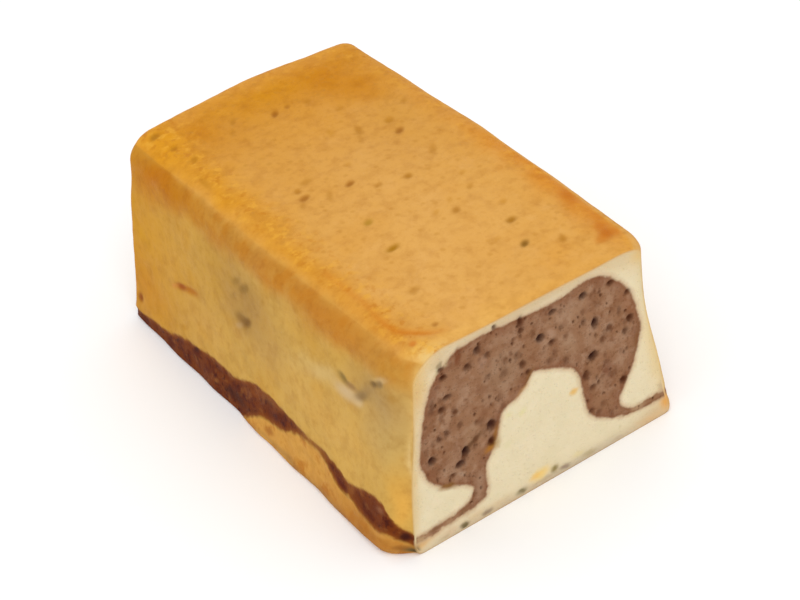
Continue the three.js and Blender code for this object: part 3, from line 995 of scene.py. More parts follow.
def drawn_in(flat, rim):
    """Places of the cut, moved inwards by about the rim's thickness."""
    return CUT_MIDDLE + (flat - CUT_MIDDLE) * (1 - rim / CUT_HALF)


def extrude(mesh, edges):
    """Extrudes an open edge, and gives the corners and the open edge it made."""
    made = bmesh.ops.extrude_edge_only(mesh, edges=edges)["geom"]
    return ([g for g in made if isinstance(g, bmesh.types.BMVert)],
            [g for g in made if isinstance(g, bmesh.types.BMEdge) and g.is_boundary])


def close_behind(mesh, edges, place):
    """Extrudes an open edge back into the loaf, where place puts it, and closes it."""
    for edge in edges:
        edge.smooth = False
    corners, last_edge = extrude(mesh, edges)
    for vert in corners:
        vert.co.y = place(vert.co.y)
    bmesh.ops.holes_fill(mesh, edges=last_edge, sides=0)
    bmesh.ops.recalc_face_normals(mesh, faces=mesh.faces)


open_edge = [edge for edge in crust.edges if edge.is_boundary]
rim_verts, inner_edge = extrude(crust, open_edge)
rim_spots = drawn_in(np.array([(v.co.x, v.co.z) for v in rim_verts]) / MM, RIM)
rim_colours = edge_colour(*rim_spots.T)
for i, vert in enumerate(rim_verts):
    vert.co.x, vert.co.z = rim_spots[i] * MM
    vert[layers["rim"]] = 1
    vert[layers["mark_colour"]] = rim_colours[i]
close_behind(crust, inner_edge, lambda y: y + POCKET_DEPTH * MM)
print("rim edges:", len(open_edge), "left open:",
      sum(1 for edge in crust.edges if edge.is_boundary))


# %% From bmesh to an object
def to_object(mesh_data, name):
    """Turns the finished mesh into an object that shades smoothly."""
    for face in mesh_data.faces:
        face.smooth = True
    mesh = bpy.data.meshes.new(name)
    mesh_data.to_mesh(mesh)
    mesh_data.free()
    print(name, "has", sum(len(p.vertices) - 2 for p in mesh.polygons), "triangles")
    return add_object(name, mesh)


baked_crust = to_object(crust, "baked_crust")

# %% [markdown]
# ## The cut face
#
# The knife opened the crumb: cream cake with an arch of cocoa batter that sank
# and curled as it baked, and two thin tails that run out to the crust. The
# face is nearly flat, so a grid is the right start. It is bent onto the loaf's
# own section, so its edge fits the crust's rim all the way round, and air
# bubbles are pushed into it as real bowls, because their shadows change with
# the light and a painted dot's do not. Each bowl is also darkened with painted
# shade, most in its middle.

# %% The arch and its tails
ARCH = rounded([
    (-35.2, 28.1), (-34.9, 31.6), (-34.1, 36.9), (-32.7, 42.8), (-30.8, 48.4), (-28.8, 52),
    (-24.4, 56.1), (-20.7, 57.9), (-15.4, 58.3), (-9.5, 58.1), (-3.6, 57.6), (2.2, 57.1),
    (6.9, 56.8), (12.8, 57.3), (18.1, 58.1), (22.9, 57.2), (26.8, 54.4), (30.3, 50.2),
    (32.8, 45.2), (34.2, 39.2), (34.9, 33.4), (33.4, 27.5), (31.3, 22), (28.5, 17.2),
    (27.1, 13.9), (27.4, 11.4), (29.9, 9), (29.9, 6.9), (25.8, 8.5), (21.6, 10.8), (18, 13.6),
    (16.3, 17.5), (15.6, 22.2), (14.8, 27.5), (13.2, 32), (9.8, 34.6), (5.6, 36.8),
    (1.1, 38.5), (-0.7, 37.4), (-2.5, 35.1), (-5.4, 33.2), (-8.7, 32.3), (-10.5, 29.8),
    (-11.9, 25.1), (-13.7, 21), (-16.1, 17.5), (-16.6, 12.8), (-16.3, 9.6), (-17.4, 7.5),
    (-20.2, 6), (-23.6, 5.1), (-24.4, 7.1), (-22.2, 8.6), (-20.9, 10.6), (-20.8, 12.6),
    (-25.1, 15.8), (-28.5, 17.3), (-31.6, 19.8), (-33.9, 23.4)], closed=True)
RIGHT_TAIL = rounded([(29, 8.4), (32.5, 7.7), (36.2, 7.5), (39.5, 7.5), (44, 7.3)])
RIGHT_TAIL_WIDTHS = [1.1, 0.8, 1, 1.2, 1.2]
LEFT_TAIL = rounded([(-18, 8), (-21.5, 6.9), (-26, 6.1), (-32, 5.6), (-37, 5.1), (-42, 5.4)])
LEFT_TAIL_WIDTHS = [1.3, 1.3, 1, 1.05, 0.95, 0.7]


def tail_distance(flat, tail, widths):
    """How far inside a tail a point lies; the tail's width changes along it."""
    gap, place = near_path(flat, tail)
    steps = (len(tail) - 1) / (len(widths) - 1)
    return np.interp(place / steps, range(len(widths)), widths) - gap


def cocoa_depth(flat):
    """How far inside the cocoa a point of the cut lies, in millimetres."""
    gap, _ = near_path(flat, ARCH)
    arch = np.where(inside(flat, ARCH), gap, -gap)
    tails = np.maximum(
        tail_distance(flat, RIGHT_TAIL, RIGHT_TAIL_WIDTHS),
        tail_distance(flat, LEFT_TAIL, LEFT_TAIL_WIDTHS))
    return np.maximum(arch, tails)


# %% [markdown]
# Air bubbles in the cocoa are larger and more even than in the cream. The
# widest ones have their own places; the rest are scattered by a seeded draw,
# most of them in the cocoa and hardly any in the cream.

# %% Bubbles of the cut
# Colours of the painted shade in the bubbles' hollows
DEEP_BUBBLE_SHADE = (52, 22, 10)
RED_BUBBLE_SHADE = (72, 38, 24)
UMBER_BUBBLE_SHADE = (104, 66, 46)
CREAM_BUBBLE_SHADE = (190, 170, 120)

# x, z, half width, half height, depth, darkness of its painted shade
DEEP_BUBBLES = [
    (19.2, 33.3, 1.5, 1.4, 1.3, 1), (-21.8, 25.3, 1.15, 1.8, 1.4, 1),
    (3.4, 48, 1.4, 1.3, 1.2, 0.95), (20.4, 43.5, 1.1, 1.6, 1.1, 0.95),
    (-31.8, 28.2, 1.3, 1.3, 0.9, 0.9), (-23.8, 22.2, 1.6, 1.1, 0.9, 0.85),
    (-13.4, 29.3, 1.5, 1.7, 0.9, 0.9), (-15.3, 54.7, 1.1, 1.3, 0.8, 0.75),
    (17.2, 53.9, 1.3, 1, 0.8, 0.85), (7.5, 54.1, 1.3, 0.9, 0.7, 0.75)]
SOFT_BUBBLES = [
    (28.6, 20, 1.2, 1.3, 1.3, 0.8), (6.8, 44.8, 1.1, 1, 1.2, 0.7),
    (16.9, 45.6, 0.8, 1.1, 1.1, 0.55), (24.9, 39.5, 1, 1.3, 1.1, 0.55),
    (31.6, 39.1, 1.2, 1.4, 1.4, 0.8), (29.9, 35.6, 1.1, 1.2, 1.1, 0.6),
    (25.9, 53.4, 1.2, 0.8, 1.2, 0.8), (31.1, 47.9, 1.1, 0.9, 1.1, 0.7),
    (16.6, 28.1, 1.2, 1.4, 1.2, 0.75), (18.7, 23.1, 1.2, 1.1, 0.9, 0.6),
    (17.8, 15.4, 1, 0.9, 0.8, 0.6), (-27.3, 42.3, 1.1, 1.1, 1.5, 0.75),
    (-25.3, 45.4, 1.5, 0.8, 1.3, 0.75), (-18.6, 51.3, 1.2, 1.2, 1.2, 0.75),
    (-25.8, 51.9, 1.1, 0.8, 1.2, 0.85), (-26.3, 54.6, 1, 0.8, 1, 0.7),
    (-2.1, 56.3, 1, 1.7, 1.1, 0.75), (-2.2, 53.4, 0.9, 0.9, 1.2, 0.7),
    (-2.5, 42.8, 1.1, 1.3, 1.1, 0.65), (-1.1, 39.6, 0.9, 0.9, 0.8, 0.65),
    (-9.9, 58.9, 0.8, 0.8, 0.8, 0.7), (-26.3, 19.9, 1.2, 0.8, 0.9, 0.55),
    (-28.9, 33.6, 1, 0.9, 0.9, 0.6), (-26.6, 34.2, 0.9, 1.1, 0.9, 0.6),
    (-22.5, 34.8, 0.9, 1.1, 0.7, 0.45), (-23.5, 39.5, 0.9, 0.9, 0.9, 0.55),
    (-12.5, 51.6, 1, 1, 0.9, 0.55), (-3.9, 46.3, 1, 1.6, 0.7, 0.35),
    (22.5, 36.9, 0.9, 1.4, 0.8, 0.45), (10.8, 36.6, 1.1, 1.5, 0.6, 0.4),
    (-13.9, 24, 1.2, 1.7, 0.8, 0.9), (9.8, 47.9, 1, 0.9, 0.6, 0.4),
    (-8, 43.4, 1.1, 1.3, 0.5, 0.35), (28.2, 43.2, 0.7, 1.6, 0.5, 0.4),
    (5.6, 39.4, 1.2, 1.2, 0.5, 0.35), (-29.8, 44.9, 0.8, 2.2, 0.4, 0.45)]

SOFT_DEPTH = 0.4
SOFT_DARKNESS = 1.15
COCOA_DEPTH_OF_DOTS = 0.6
CREAM_DEPTH_OF_DOTS = -1.2
DOTS_FROM, DOTS_TO = (-38, 3), (39, 58.5)
TALLNESS = (0.8, 1.8)
BUBBLE_SEED = 7
bubble_chance = np.random.default_rng(BUBBLE_SEED)


def scatter_bubbles(count, in_cocoa, widths, deep, darkness, colour):
    """Small bubbles at chance places of the cocoa or of the cream, darkened with painted
    shade.
    """
    bubbles = []
    while len(bubbles) < count:
        spots = bubble_chance.uniform(DOTS_FROM, DOTS_TO, (count, 2))
        depth = cocoa_depth(spots)
        fit = depth > COCOA_DEPTH_OF_DOTS if in_cocoa else depth < CREAM_DEPTH_OF_DOTS
        for spot in spots[fit]:
            wide = bubble_chance.uniform(*widths)
            tall = wide * bubble_chance.uniform(*TALLNESS)
            dark = bubble_chance.uniform(*darkness)
            bubbles.append((*spot, wide, tall, deep * wide, dark, colour))
    return bubbles[:count]


BUBBLES = [(*one[:4], SOFT_DEPTH * one[4], min(SOFT_DARKNESS * one[5], 1), RED_BUBBLE_SHADE)
           for one in SOFT_BUBBLES]
BUBBLES += scatter_bubbles(70, True, (0.5, 1), 0.3, (0.2, 0.6), UMBER_BUBBLE_SHADE)
BUBBLES += scatter_bubbles(90, True, (0.28, 0.5), 0.8, (0.3, 0.75), RED_BUBBLE_SHADE)
BUBBLES += scatter_bubbles(25, False, (0.25, 0.5), 0.3, (0.05, 0.2), CREAM_BUBBLE_SHADE)
BUBBLES += [(*one, DEEP_BUBBLE_SHADE) for one in DEEP_BUBBLES]
print("bubbles:", len(BUBBLES))

# %% Stains and flecks of the cut face, with painted highlights and painted shade
# x, z, half length, half width, turn, depth, strength, colour
FACE_MARKS = [
    (12.5, 25.1, 1.25, 1.1, -20, 0.15, 0.85, 224, 176, 92),
    (0.2, 3.9, 3.1, 1.9, 4, 0.1, 0.8, 240, 204, 120),
    (-1.2, 4, 1.8, 1.1, 8, 0, 0.6, 238, 188, 98),
    (-14.2, 22.2, 2, 1.1, 20, 0.1, 0.85, 182, 122, 46),
    (-12.3, 22.6, 1.3, 2.2, 0, 0, 0.6, 174, 144, 98),
    (-12.4, 25.5, 2.8, 0.8, 75, 0.1, 0.65, 156, 104, 50),
    (-28.2, 17.2, 2.8, 0.9, -20, 0, 0.7, 132, 92, 44),
    (-8.2, 29.4, 1.2, 0.9, -10, 0, 0.4, 214, 204, 140),
    (-3.9, 27.8, 1.3, 0.9, 30, 0, 0.4, 218, 210, 138),
    (-9, 20, 1.6, 1.2, 0, 0, 0.25, 214, 204, 146),
    # painted highlights: the next three rows are pale glints on the cocoa
    (-23.9, 18.9, 1.4, 0.9, -40, 0, 0.6, 176, 148, 124),
    (-14.2, 50, 1.4, 2.2, -30, 0, 0.5, 176, 142, 118),
    (6.6, 48, 1.2, 1.6, 30, 0, 0.5, 180, 146, 122),
    (12, 41.5, 2.6, 4.2, 30, 0, 0.35, 162, 130, 102),
    (-8.5, 44, 5.5, 6.5, 0, 0, 0.4, 152, 122, 96),
    (-19, 30, 3.2, 3.6, 0, 0, 0.35, 160, 126, 96),
    (23.7, 26.6, 1.7, 3.2, 0, 0.1, 0.6, 122, 80, 60),
    (-21, 55.8, 0.9, 2.8, -6, 0.1, 0.75, 116, 66, 42),
    (-19, 27.2, 3.4, 0.9, 25, 0.2, 0.7, 84, 54, 34),
    (-24.6, 55.6, 1.5, 0.7, 55, 0, 0.5, 206, 186, 144),
    (-26.6, 56, 1.3, 0.7, 60, 0, 0.6, 116, 96, 64),
    (-27.6, 54.2, 1.2, 0.5, 60, 0, 0.5, 196, 176, 132),
    (-0.6, 38.6, 2.2, 0.7, 55, 0, 0.5, 132, 94, 48),
    (-3, 34.9, 3, 0.6, 32, 0, 0.35, 196, 152, 96),
    (33.4, 31, 5, 0.8, 80, 0, 0.4, 118, 76, 44),
    (31.5, 43, 6, 1.3, 110, 0, 0.3, 150, 98, 68),
    (33.2, 7.8, 2.6, 1.2, 0, 0, 0.55, 196, 166, 128),
    (38.8, 7.6, 3, 1.2, 0, 0, 0.35, 166, 130, 94),
    (41, 10.2, 1.2, 2.2, 10, 0, 0.45, 178, 150, 126),
    (-18.8, 12, 1.9, 4, 0, 0, 0.45, 172, 140, 114),
    (13, 50, 5.5, 4.5, 0, 0, 0.35, 168, 134, 106),
    (-31, 5.4, 9, 1.8, 0, 0, 0.3, 186, 150, 116),
    (-38.6, 4.8, 2.6, 1.6, 0, 0, 0.65, 194, 162, 120),
    (-33.3, 5.7, 1.5, 0.9, 0, 0, 0.5, 112, 72, 46),
    (-28.8, 5.3, 1.2, 1, 0, 0, 0.35, 178, 146, 112),
    (-24.6, 6.2, 1.4, 0.8, 10, 0, 0.4, 118, 82, 50),
    (4.6, 3.1, 1.3, 1.1, -60, 0, 0.85, 130, 112, 56),
    (8, 1.7, 1.6, 0.8, -8, 0, 0.75, 140, 116, 100),
    (12.6, 3.4, 2, 1, 0, 0, 0.35, 224, 204, 140),
    (16, 1.6, 2.2, 0.9, -5, 0, 0.55, 174, 152, 108),
    (26, 1, 2.6, 0.5, 0, 0, 0.4, 184, 158, 132),
    (1.5, 1.5, 4.5, 0.6, 0, 0, 0.45, 172, 146, 116),
    (-6.2, 1.9, 1.6, 0.9, 0, 0, 0.85, 112, 102, 66),
    (-17.3, 1.5, 1.7, 0.9, 0, 0, 0.75, 132, 108, 90),
    (-24.6, 1.4, 1.3, 1, 0, 0, 0.9, 98, 84, 50),
    (-31, 1.2, 1.6, 0.5, 0, 0, 0.35, 176, 150, 114),
    # painted shade: a dark grey-olive spot at the near foot corner, by the floor
    (-40.2, 2.4, 1.6, 1.2, -35, 0, 0.85, 90, 80, 56)]


# %% Bend a grid onto the loaf's section
FACE_STEPS = (236, 168)
ROUND_BUBBLE = 0.35


def bend_to_section(flat):
    """Points of the unit square, moved onto the cut of the loaf."""
    u, v = (flat + HALF_CUBE).T
    square = np.stack([
        (crowd_both_ends(u) - HALF_CUBE) * TOP_WIDTH, np.zeros(len(u)),
        crowd_both_ends(v) * HEIGHT], 1)
    return drawn_in(standing(square)[:, (0, 2)], RIM - CRUMB_OVERLAP)


def section_outline(steps):
    """Places round the edge of the cut, so many on each side."""
    run = np.arange(steps) / steps - HALF_CUBE
    low, high = np.full(steps, -HALF_CUBE), np.full(steps, HALF_CUBE)
    sides = [(run, low), (high, run), (-run, high), (low, -run), (run[:1], low[:1])]
    return bend_to_section(np.concatenate([np.stack(side, 1) for side in sides]))


face = bmesh.new()
bmesh.ops.create_grid(
    face, x_segments=FACE_STEPS[0], y_segments=FACE_STEPS[1], size=HALF_CUBE)
flat = bend_to_section(np.array([v.co[:2] for v in face.verts]))
near_bubble = np.zeros(len(flat), bool)
for x, z, wide, tall, *_ in BUBBLES:
    away = (((flat[:, 0] - x) / (wide + ROUND_BUBBLE)) ** 2
            + ((flat[:, 1] - z) / (tall + ROUND_BUBBLE)) ** 2)
    near_bubble |= away < 1
fine_edges = [edge for edge in face.edges
              if near_bubble[edge.verts[0].index] and near_bubble[edge.verts[1].index]]
bmesh.ops.subdivide_edges(face, edges=fine_edges, cuts=1, use_grid_fill=True)
print("cut face grid:", len(face.faces), "faces")

# %% Measure the cut face
RAGGED = [(0.3, 2.2, 21), (0.15, 0.9, 22)]
TAIL_HEIGHTS = (11, 8)
OUTLINE_STEPS = 24
flat = bend_to_section(np.array([v.co[:2] for v in face.verts]))
x, z = flat.T
spots = np.stack([x, np.zeros(len(x)), z], 1)
face_cocoa = cocoa_depth(flat) + rough(spots, *RAGGED) * (1 + ease(z, *TAIL_HEIGHTS))
from_rim = near_path(flat, section_outline(OUTLINE_STEPS))[0]
print("cut face runs", flat.min(0).round(1), "to", flat.max(0).round(1), "mm")

# %% [markdown]
# The crumb browns towards the crust, and not evenly: most at the top left
# corner, where the tin was hottest, and at the foot on the right. The tones are
# those of the rim, so the crumb and the crust meet in one colour.

# %% Browning towards the crust
EDGE_DRIFT = (0.6, 4, 23)
drift_of_edge = rough(spots, EDGE_DRIFT)
tint, tint_colour = edge_tone(x + drift_of_edge, z + drift_of_edge)
print("browned points of the crumb:", int((tint > 0.1).sum()))

# %% Push the bubbles in, paint shade into them and lay the marks
MARK_DRIFT = (0.5, 1.6, 28)
BUBBLE_WARP = (0.45, 1.1, 24)
BUBBLE_REACH = 9
BUBBLE_CRISPNESS = 1.4
CRUMB_RELIEF = [(0.05, 2.6, 25), (0.03, 1.1, 26), (0.02, 0.55, 27)]
ROUGHER_COCOA = 1.5
COCOA_EDGE = (-0.5, 0.5)
CRUMB_LEVEL = 0.1
RIM_FADE = (0, 2)
LEAST_DEPTH = 0.02

mark, mark_colour = bare(CREAM, len(flat))
depth = np.zeros(len(flat))
wander = astray(spots, *MARK_DRIFT)
for one in FACE_MARKS:
    shown = oval(flat + wander, one)
    depth += one[5] * shown
    lay(one[6] * shown, shade(*one[7:]), mark, mark_colour)
# each bubble is pushed in as a bowl and darkened with painted shade
for bx, bz, wide, tall, deep, dark, colour in BUBBLES:
    away = ((x - bx) / wide) ** 2 + ((z - bz) / tall) ** 2
    close = away < BUBBLE_REACH
    away = away[close] * (1 + rough(spots[close], BUBBLE_WARP))
    bowl, shown = np.zeros(len(flat)), np.zeros(len(flat))
    bowl[close] = np.clip(1 - away, 0, 1)
    shown[close] = np.exp(-away ** BUBBLE_CRISPNESS)
    depth = np.maximum(depth, deep * bowl)
    lay(dark * shown, shade(*colour), mark, mark_colour)
crumb_relief = rough(spots, *CRUMB_RELIEF)
crumb_relief *= 1 + ROUGHER_COCOA * ease(face_cocoa, *COCOA_EDGE)
into_loaf = depth + (crumb_relief + CRUMB_LEVEL) * ease(from_rim, *RIM_FADE)
into_loaf = np.maximum(into_loaf, LEAST_DEPTH)
print("deepest bubble:", round(float(into_loaf.max()), 2), "mm")

# %% Keep the measures and close the crumb behind
CRUMB_DEPTH = 5
keep(face, np.stack([x, CUT_Y + into_loaf, z], 1),
     {"cocoa": face_cocoa, "tint": tint, "mark": mark},
     {"mark_colour": mark_colour, "tint_colour": tint_colour})
open_edge = [edge for edge in face.edges if edge.is_boundary]
close_behind(face, open_edge, lambda y: (CUT_Y + CRUMB_DEPTH) * MM)
cut_crumb = to_object(face, "cut_crumb")

# %% [markdown]
# ## Effects that both finishes share
#
# Crust and crumb are one baked batter, so they share the way their colour
# drifts, the way one colour ends against the next, and their tiny holes. Each
# is a node group with named values, built once. They all read the piece's own
# coordinates, so a pattern stays on the cake whatever moves.


# %% Node helpers
CLOUD_ROUGHNESS = 0.55


def new_group(title, takes, gives):
    """A node group, with its input values and the names of its outputs."""
    tree = bpy.data.node_groups.new(title, "ShaderNodeTree")
    for name, value in takes.items():
        socket = tree.interface.new_socket(
            name=name, in_out='INPUT', socket_type='NodeSocketFloat')
        socket.default_value = value
    for name in gives:
        tree.interface.new_socket(name=name, in_out='OUTPUT', socket_type='NodeSocketFloat')
    return tree, tree.nodes.new("NodeGroupInput"), tree.nodes.new("NodeGroupOutput")


def plug(tree, source, socket):
    """Links an output to a socket, or sets the socket's own value."""
    if isinstance(source, bpy.types.NodeSocket):
        tree.links.new(source, socket)
    elif socket.type == 'VECTOR' and isinstance(source, (int, float)):
        socket.default_value = (source, source, source)
    else:
        socket.default_value = source


def calc(tree, kind, first, second):
    """One sum, worked out where the surface is shaded."""
    step = tree.nodes.new("ShaderNodeMath")
    step.operation = kind
    plug(tree, first, step.inputs[0])
    plug(tree, second, step.inputs[1])
    return step.outputs[0]


def spread(tree, value, low, high, to_low=0.0, to_high=1.0):
    """A soft step from to_low to to_high while the value goes from low to high."""
    step = tree.nodes.new("ShaderNodeMapRange")
    step.interpolation_type = 'SMOOTHSTEP'
    for source, name in ((value, "Value"), (low, "From Min"), (high, "From Max"),
                         (to_low, "To Min"), (to_high, "To Max")):
        plug(tree, source, step.inputs[name])
    return step.outputs["Result"]


def cloud_noise(tree, size, seed, detail=3.0):
    """Noise with clouds of this size in millimetres, about 0.5 on average."""
    place = tree.nodes.new("ShaderNodeTexCoord")
    shift = tree.nodes.new("ShaderNodeVectorMath")
    shift.operation = 'ADD'
    plug(tree, place.outputs["Object"], shift.inputs[0])
    plug(tree, seed, shift.inputs[1])
    clouds = tree.nodes.new("ShaderNodeTexNoise")
    plug(tree, shift.outputs["Vector"], clouds.inputs["Vector"])
    plug(tree, calc(tree, 'DIVIDE', 1 / MM, size), clouds.inputs["Scale"])
    clouds.inputs["Detail"].default_value = detail
    clouds.inputs["Roughness"].default_value = CLOUD_ROUGHNESS
    return clouds.outputs["Fac"]


# %% Drifting colour
drift, given, result = new_group(
    "drifting_colour", {"Size": 8.0, "Start": 0.45, "Full": 0.65, "Seed": 0.0}, ["Mask"])
clouds = cloud_noise(drift, given.outputs["Size"], given.outputs["Seed"])
plug(drift, spread(drift, clouds, given.outputs["Start"], given.outputs["Full"]),
     result.inputs["Mask"])

# %% The edge where one batter meets the other
AVERAGE_CLOUD = 0.5
FRAY_PER_CLOUD = 4
fray_edge, given, result = new_group(
    "frayed_edge", {"Distance": 0.0, "Fray": 0.4, "Fray Size": 1.5, "Softness": 0.3}, ["Mask"])
clouds = cloud_noise(fray_edge, given.outputs["Fray Size"], 3.7, 4)
wander = calc(fray_edge, 'MULTIPLY',
              calc(fray_edge, 'SUBTRACT', clouds, AVERAGE_CLOUD),
              calc(fray_edge, 'MULTIPLY', given.outputs["Fray"], FRAY_PER_CLOUD))
moved = calc(fray_edge, 'ADD', given.outputs["Distance"], wander)
minus = calc(fray_edge, 'MULTIPLY', given.outputs["Softness"], -1.0)
plug(fray_edge, spread(fray_edge, moved, minus, given.outputs["Softness"]),
     result.inputs["Mask"])

# %% Tiny holes and grain
HOLE_EDGE = (0.12, 0.42)
GRAIN_PER_HOLE = 0.6
grain, given, result = new_group(
    "crumb_grain", {"Hole Size": 1.2, "Share": 0.5, "Seed": 0.0}, ["Hole", "Grain"])
place = grain.nodes.new("ShaderNodeTexCoord")
cells = grain.nodes.new("ShaderNodeTexVoronoi")
plug(grain, place.outputs["Object"], cells.inputs["Vector"])
plug(grain, calc(grain, 'DIVIDE', 1 / MM, given.outputs["Hole Size"]),
     cells.inputs["Scale"])
chosen = grain.nodes.new("ShaderNodeSeparateColor")
plug(grain, cells.outputs["Color"], chosen.inputs[0])
picked = calc(grain, 'LESS_THAN', chosen.outputs[0], given.outputs["Share"])
hole = spread(grain, cells.outputs["Distance"], *HOLE_EDGE, 1, 0)
plug(grain, calc(grain, 'MULTIPLY', hole, picked), result.inputs["Hole"])
grain_size = calc(grain, 'MULTIPLY', given.outputs["Hole Size"], GRAIN_PER_HOLE)
clouds = cloud_noise(grain, grain_size, given.outputs["Seed"], 5)
plug(grain, clouds, result.inputs["Grain"])
print("shared groups:", [g.name for g in bpy.data.node_groups])


# %% Helpers for a whole material
def new_material(title):
    """A material, its nodes and the shader that comes with it."""
    material = bpy.data.materials.new(title)
    material.use_nodes = True
    return material, material.node_tree, material.node_tree.nodes["Principled BSDF"]


def measure(tree, name, kind="Fac"):
    """An attribute that the mesh carries."""
    source = tree.nodes.new("ShaderNodeAttribute")
    source.attribute_name = name
    return source.outputs[kind]


def use_group(tree, group, **values):
    """Places a shared group. Words in a value's name are joined by _."""
    step = tree.nodes.new("ShaderNodeGroup")
    step.node_tree = group
    for name, value in values.items():
        plug(tree, value, step.inputs[name.replace("_", " ").title()])
    return step.outputs


def drifting(tree, size, start, full, seed, strength=1.0):
    """A mask in clouds of this size, from none at start to this strength at full."""
    mask = use_group(tree, drift, size=size, start=start, full=full, seed=seed)["Mask"]
    return calc(tree, 'MULTIPLY', mask, strength)


def paint(tree, under, colour, mask, blend='MIX'):
    """Lays a colour over what is under it, as strongly as the mask says.

    Each of the two is a given colour or the output of another step.
    """
    step = tree.nodes.new("ShaderNodeMix")
    step.data_type = 'RGBA'
    step.blend_type = blend
    step.clamp_factor = True
    plug(tree, mask, step.inputs["Factor"])
    for tone, socket in ((under, step.inputs[6]), (colour, step.inputs[7])):
        plug(tree, shade(*tone) if isinstance(tone, tuple) else tone, socket)
    return step.outputs[2]


def layered(tree, under, *layers):
    """Lays colours one over another, each where its own drifting mask says.

    A layer is a colour, the size, start, full, seed and strength of its
    mask and, where it keeps to one, the name of a measure on the mesh.
    """
    for colour, size, start, full, seed, strength, *within in layers:
        mask = drifting(tree, size, start, full, seed, strength)
        for name in within:
            mask = calc(tree, 'MULTIPLY', measure(tree, name), mask)
        under = paint(tree, under, colour, mask)
    return under


def bump(tree, height, distance):
    """A normal roughened by these heights, as deep as the distance in millimetres."""
    step = tree.nodes.new("ShaderNodeBump")
    step.inputs["Distance"].default_value = distance * MM
    plug(tree, height, step.inputs["Height"])
    return step.outputs["Normal"]


# %% [markdown]
# ## The crust's finish
#
# Baked crust is matt with a faint greasy sheen. Its colour is never one
# colour: each tone below is laid over the last, from the broad golden drift of
# the top and the paler sides to the toasted band, the cocoa streak and the
# marks. Layers of paint are easier to match to a real cake than one ramp.

# %% Tones of the top and of the sides
crust_material, tree, skin = new_material("baked_crust")
top_tone = layered(
    tree, (223, 165, 82),
    ((217, 154, 66), 15, 0.45, 0.65, 1, 0.5),
    ((228, 172, 95), 8, 0.5, 0.7, 2, 0.55))
side_tone = layered(
    tree, (204, 162, 82),
    ((212, 168, 84), 11, 0.45, 0.65, 4, 0.7),
    ((192, 152, 76), 7, 0.5, 0.7, 5, 0.5),
    ((202, 148, 54), 14, 0.5, 0.7, 7, 0.5))

# %% The toasted band, the lip and the broad tones
TOAST_LEAST = 0.5
UNDERSIDE = (178, 118, 50)
toasted = calc(tree, 'MULTIPLY', measure(tree, "toast"),
               calc(tree, 'ADD', drifting(tree, 6, 0.4, 0.65, 8, 0.45), TOAST_LEAST))
side_tone = paint(tree, side_tone, (194, 128, 42), toasted)
side_tone = paint(tree, side_tone, (212, 156, 74), measure(tree, "lip"))
side_tone = layered(tree, side_tone, ((184, 112, 38), 4, 0.48, 0.66, 9, 0.7, "lip"))
colour = paint(tree, side_tone, top_tone, measure(tree, "top"))
colour = paint(tree, colour, measure(tree, "tint_colour", "Color"), measure(tree, "tint"))
colour = layered(tree, colour, (UNDERSIDE, 12, 0.3, 0.6, 11, 0.8, "underside"))

# %% Fine mottling
SPECKS_BESIDE, SPECKS_ON_TOP = 0.1, 0.35
SPECK_COLOUR = (192, 132, 50)
# colour that darkens, then size, start, full, seed and strength of its mask
DARKER_CLOUDS = [((222, 200, 160), 4, 0.42, 0.72, 3, 0.3),
                 ((222, 196, 150), 1.8, 0.48, 0.74, 15, 0.2)]
specks = use_group(tree, grain, hole_size=2.6, share=0.3, seed=5)
for tone, *mask in DARKER_CLOUDS:
    colour = paint(tree, colour, tone, drifting(tree, *mask), 'MULTIPLY')
colour = paint(tree, colour, SPECK_COLOUR, calc(
    tree, 'MULTIPLY', specks["Hole"],
    spread(tree, measure(tree, "top"), 0, 1, SPECKS_BESIDE, SPECKS_ON_TOP)))
colour = layered(
    tree, colour,
    ((238, 176, 66), 3.2, 0.5, 0.68, 10, 0.5, "warm"),
    ((196, 122, 34), 2.8, 0.52, 0.68, 16, 0.6, "warm"))
print("crust's nodes so far:", len(tree.nodes))

# %% The cocoa streak
PALE_AT_EDGE = 0.65
PALE_TO = 2
streak = layered(
    tree, (114, 56, 20),
    ((88, 38, 10), 5, 0.46, 0.62, 12, 0.8),
    ((142, 86, 44), 3, 0.54, 0.7, 13, 0.55),
    ((58, 22, 6), 1.9, 0.53, 0.68, 17, 0.6))
streak = paint(tree, streak, (146, 84, 36),
               spread(tree, measure(tree, "cocoa"), PALE_TO, 0, 0, PALE_AT_EDGE))
in_streak = use_group(tree, fray_edge, distance=measure(tree, "cocoa"), fray=0.35,
                      fray_size=1.8, softness=0.75)["Mask"]
colour = paint(tree, colour, streak, in_streak)

# %% Marks, rim and the feel of the surface
SPECK_DEPTH = 0.2
CRUST_BUMP = 0.14
DRY_CLOUDS = (5, 14)
DRY_FROM, DRY_TO = (0.3, 0.7), (0.55, 0.7)
GREASY_SHEEN = 0.08
for mask in ("mark", "rim"):
    colour = paint(tree, colour, measure(tree, "mark_colour", "Color"), measure(tree, mask))
plug(tree, colour, skin.inputs["Base Color"])
fine_specks = use_group(tree, grain, hole_size=0.9, share=0.6, seed=9)
height = calc(tree, 'SUBTRACT', fine_specks["Grain"],
              calc(tree, 'MULTIPLY', specks["Hole"], SPECK_DEPTH))
plug(tree, bump(tree, height, CRUST_BUMP), skin.inputs["Normal"])
plug(tree, spread(tree, cloud_noise(tree, *DRY_CLOUDS), *DRY_FROM, *DRY_TO),
     skin.inputs["Roughness"])
skin.inputs["Specular IOR Level"].default_value = GREASY_SHEEN
baked_crust.data.materials.append(crust_material)
print("finish", crust_material.name, "has", len(tree.nodes), "nodes")

# %% [markdown]
# ## The crumb's finish
#
# Crumb is quite matt, and light goes a little way into it, which softens its
# shadows: a small subsurface weight does that. The arch's edge is the distance
# kept on the mesh, frayed by noise. Cream and cocoa each have their own drift
# of tone, and browning and stains lie over both.

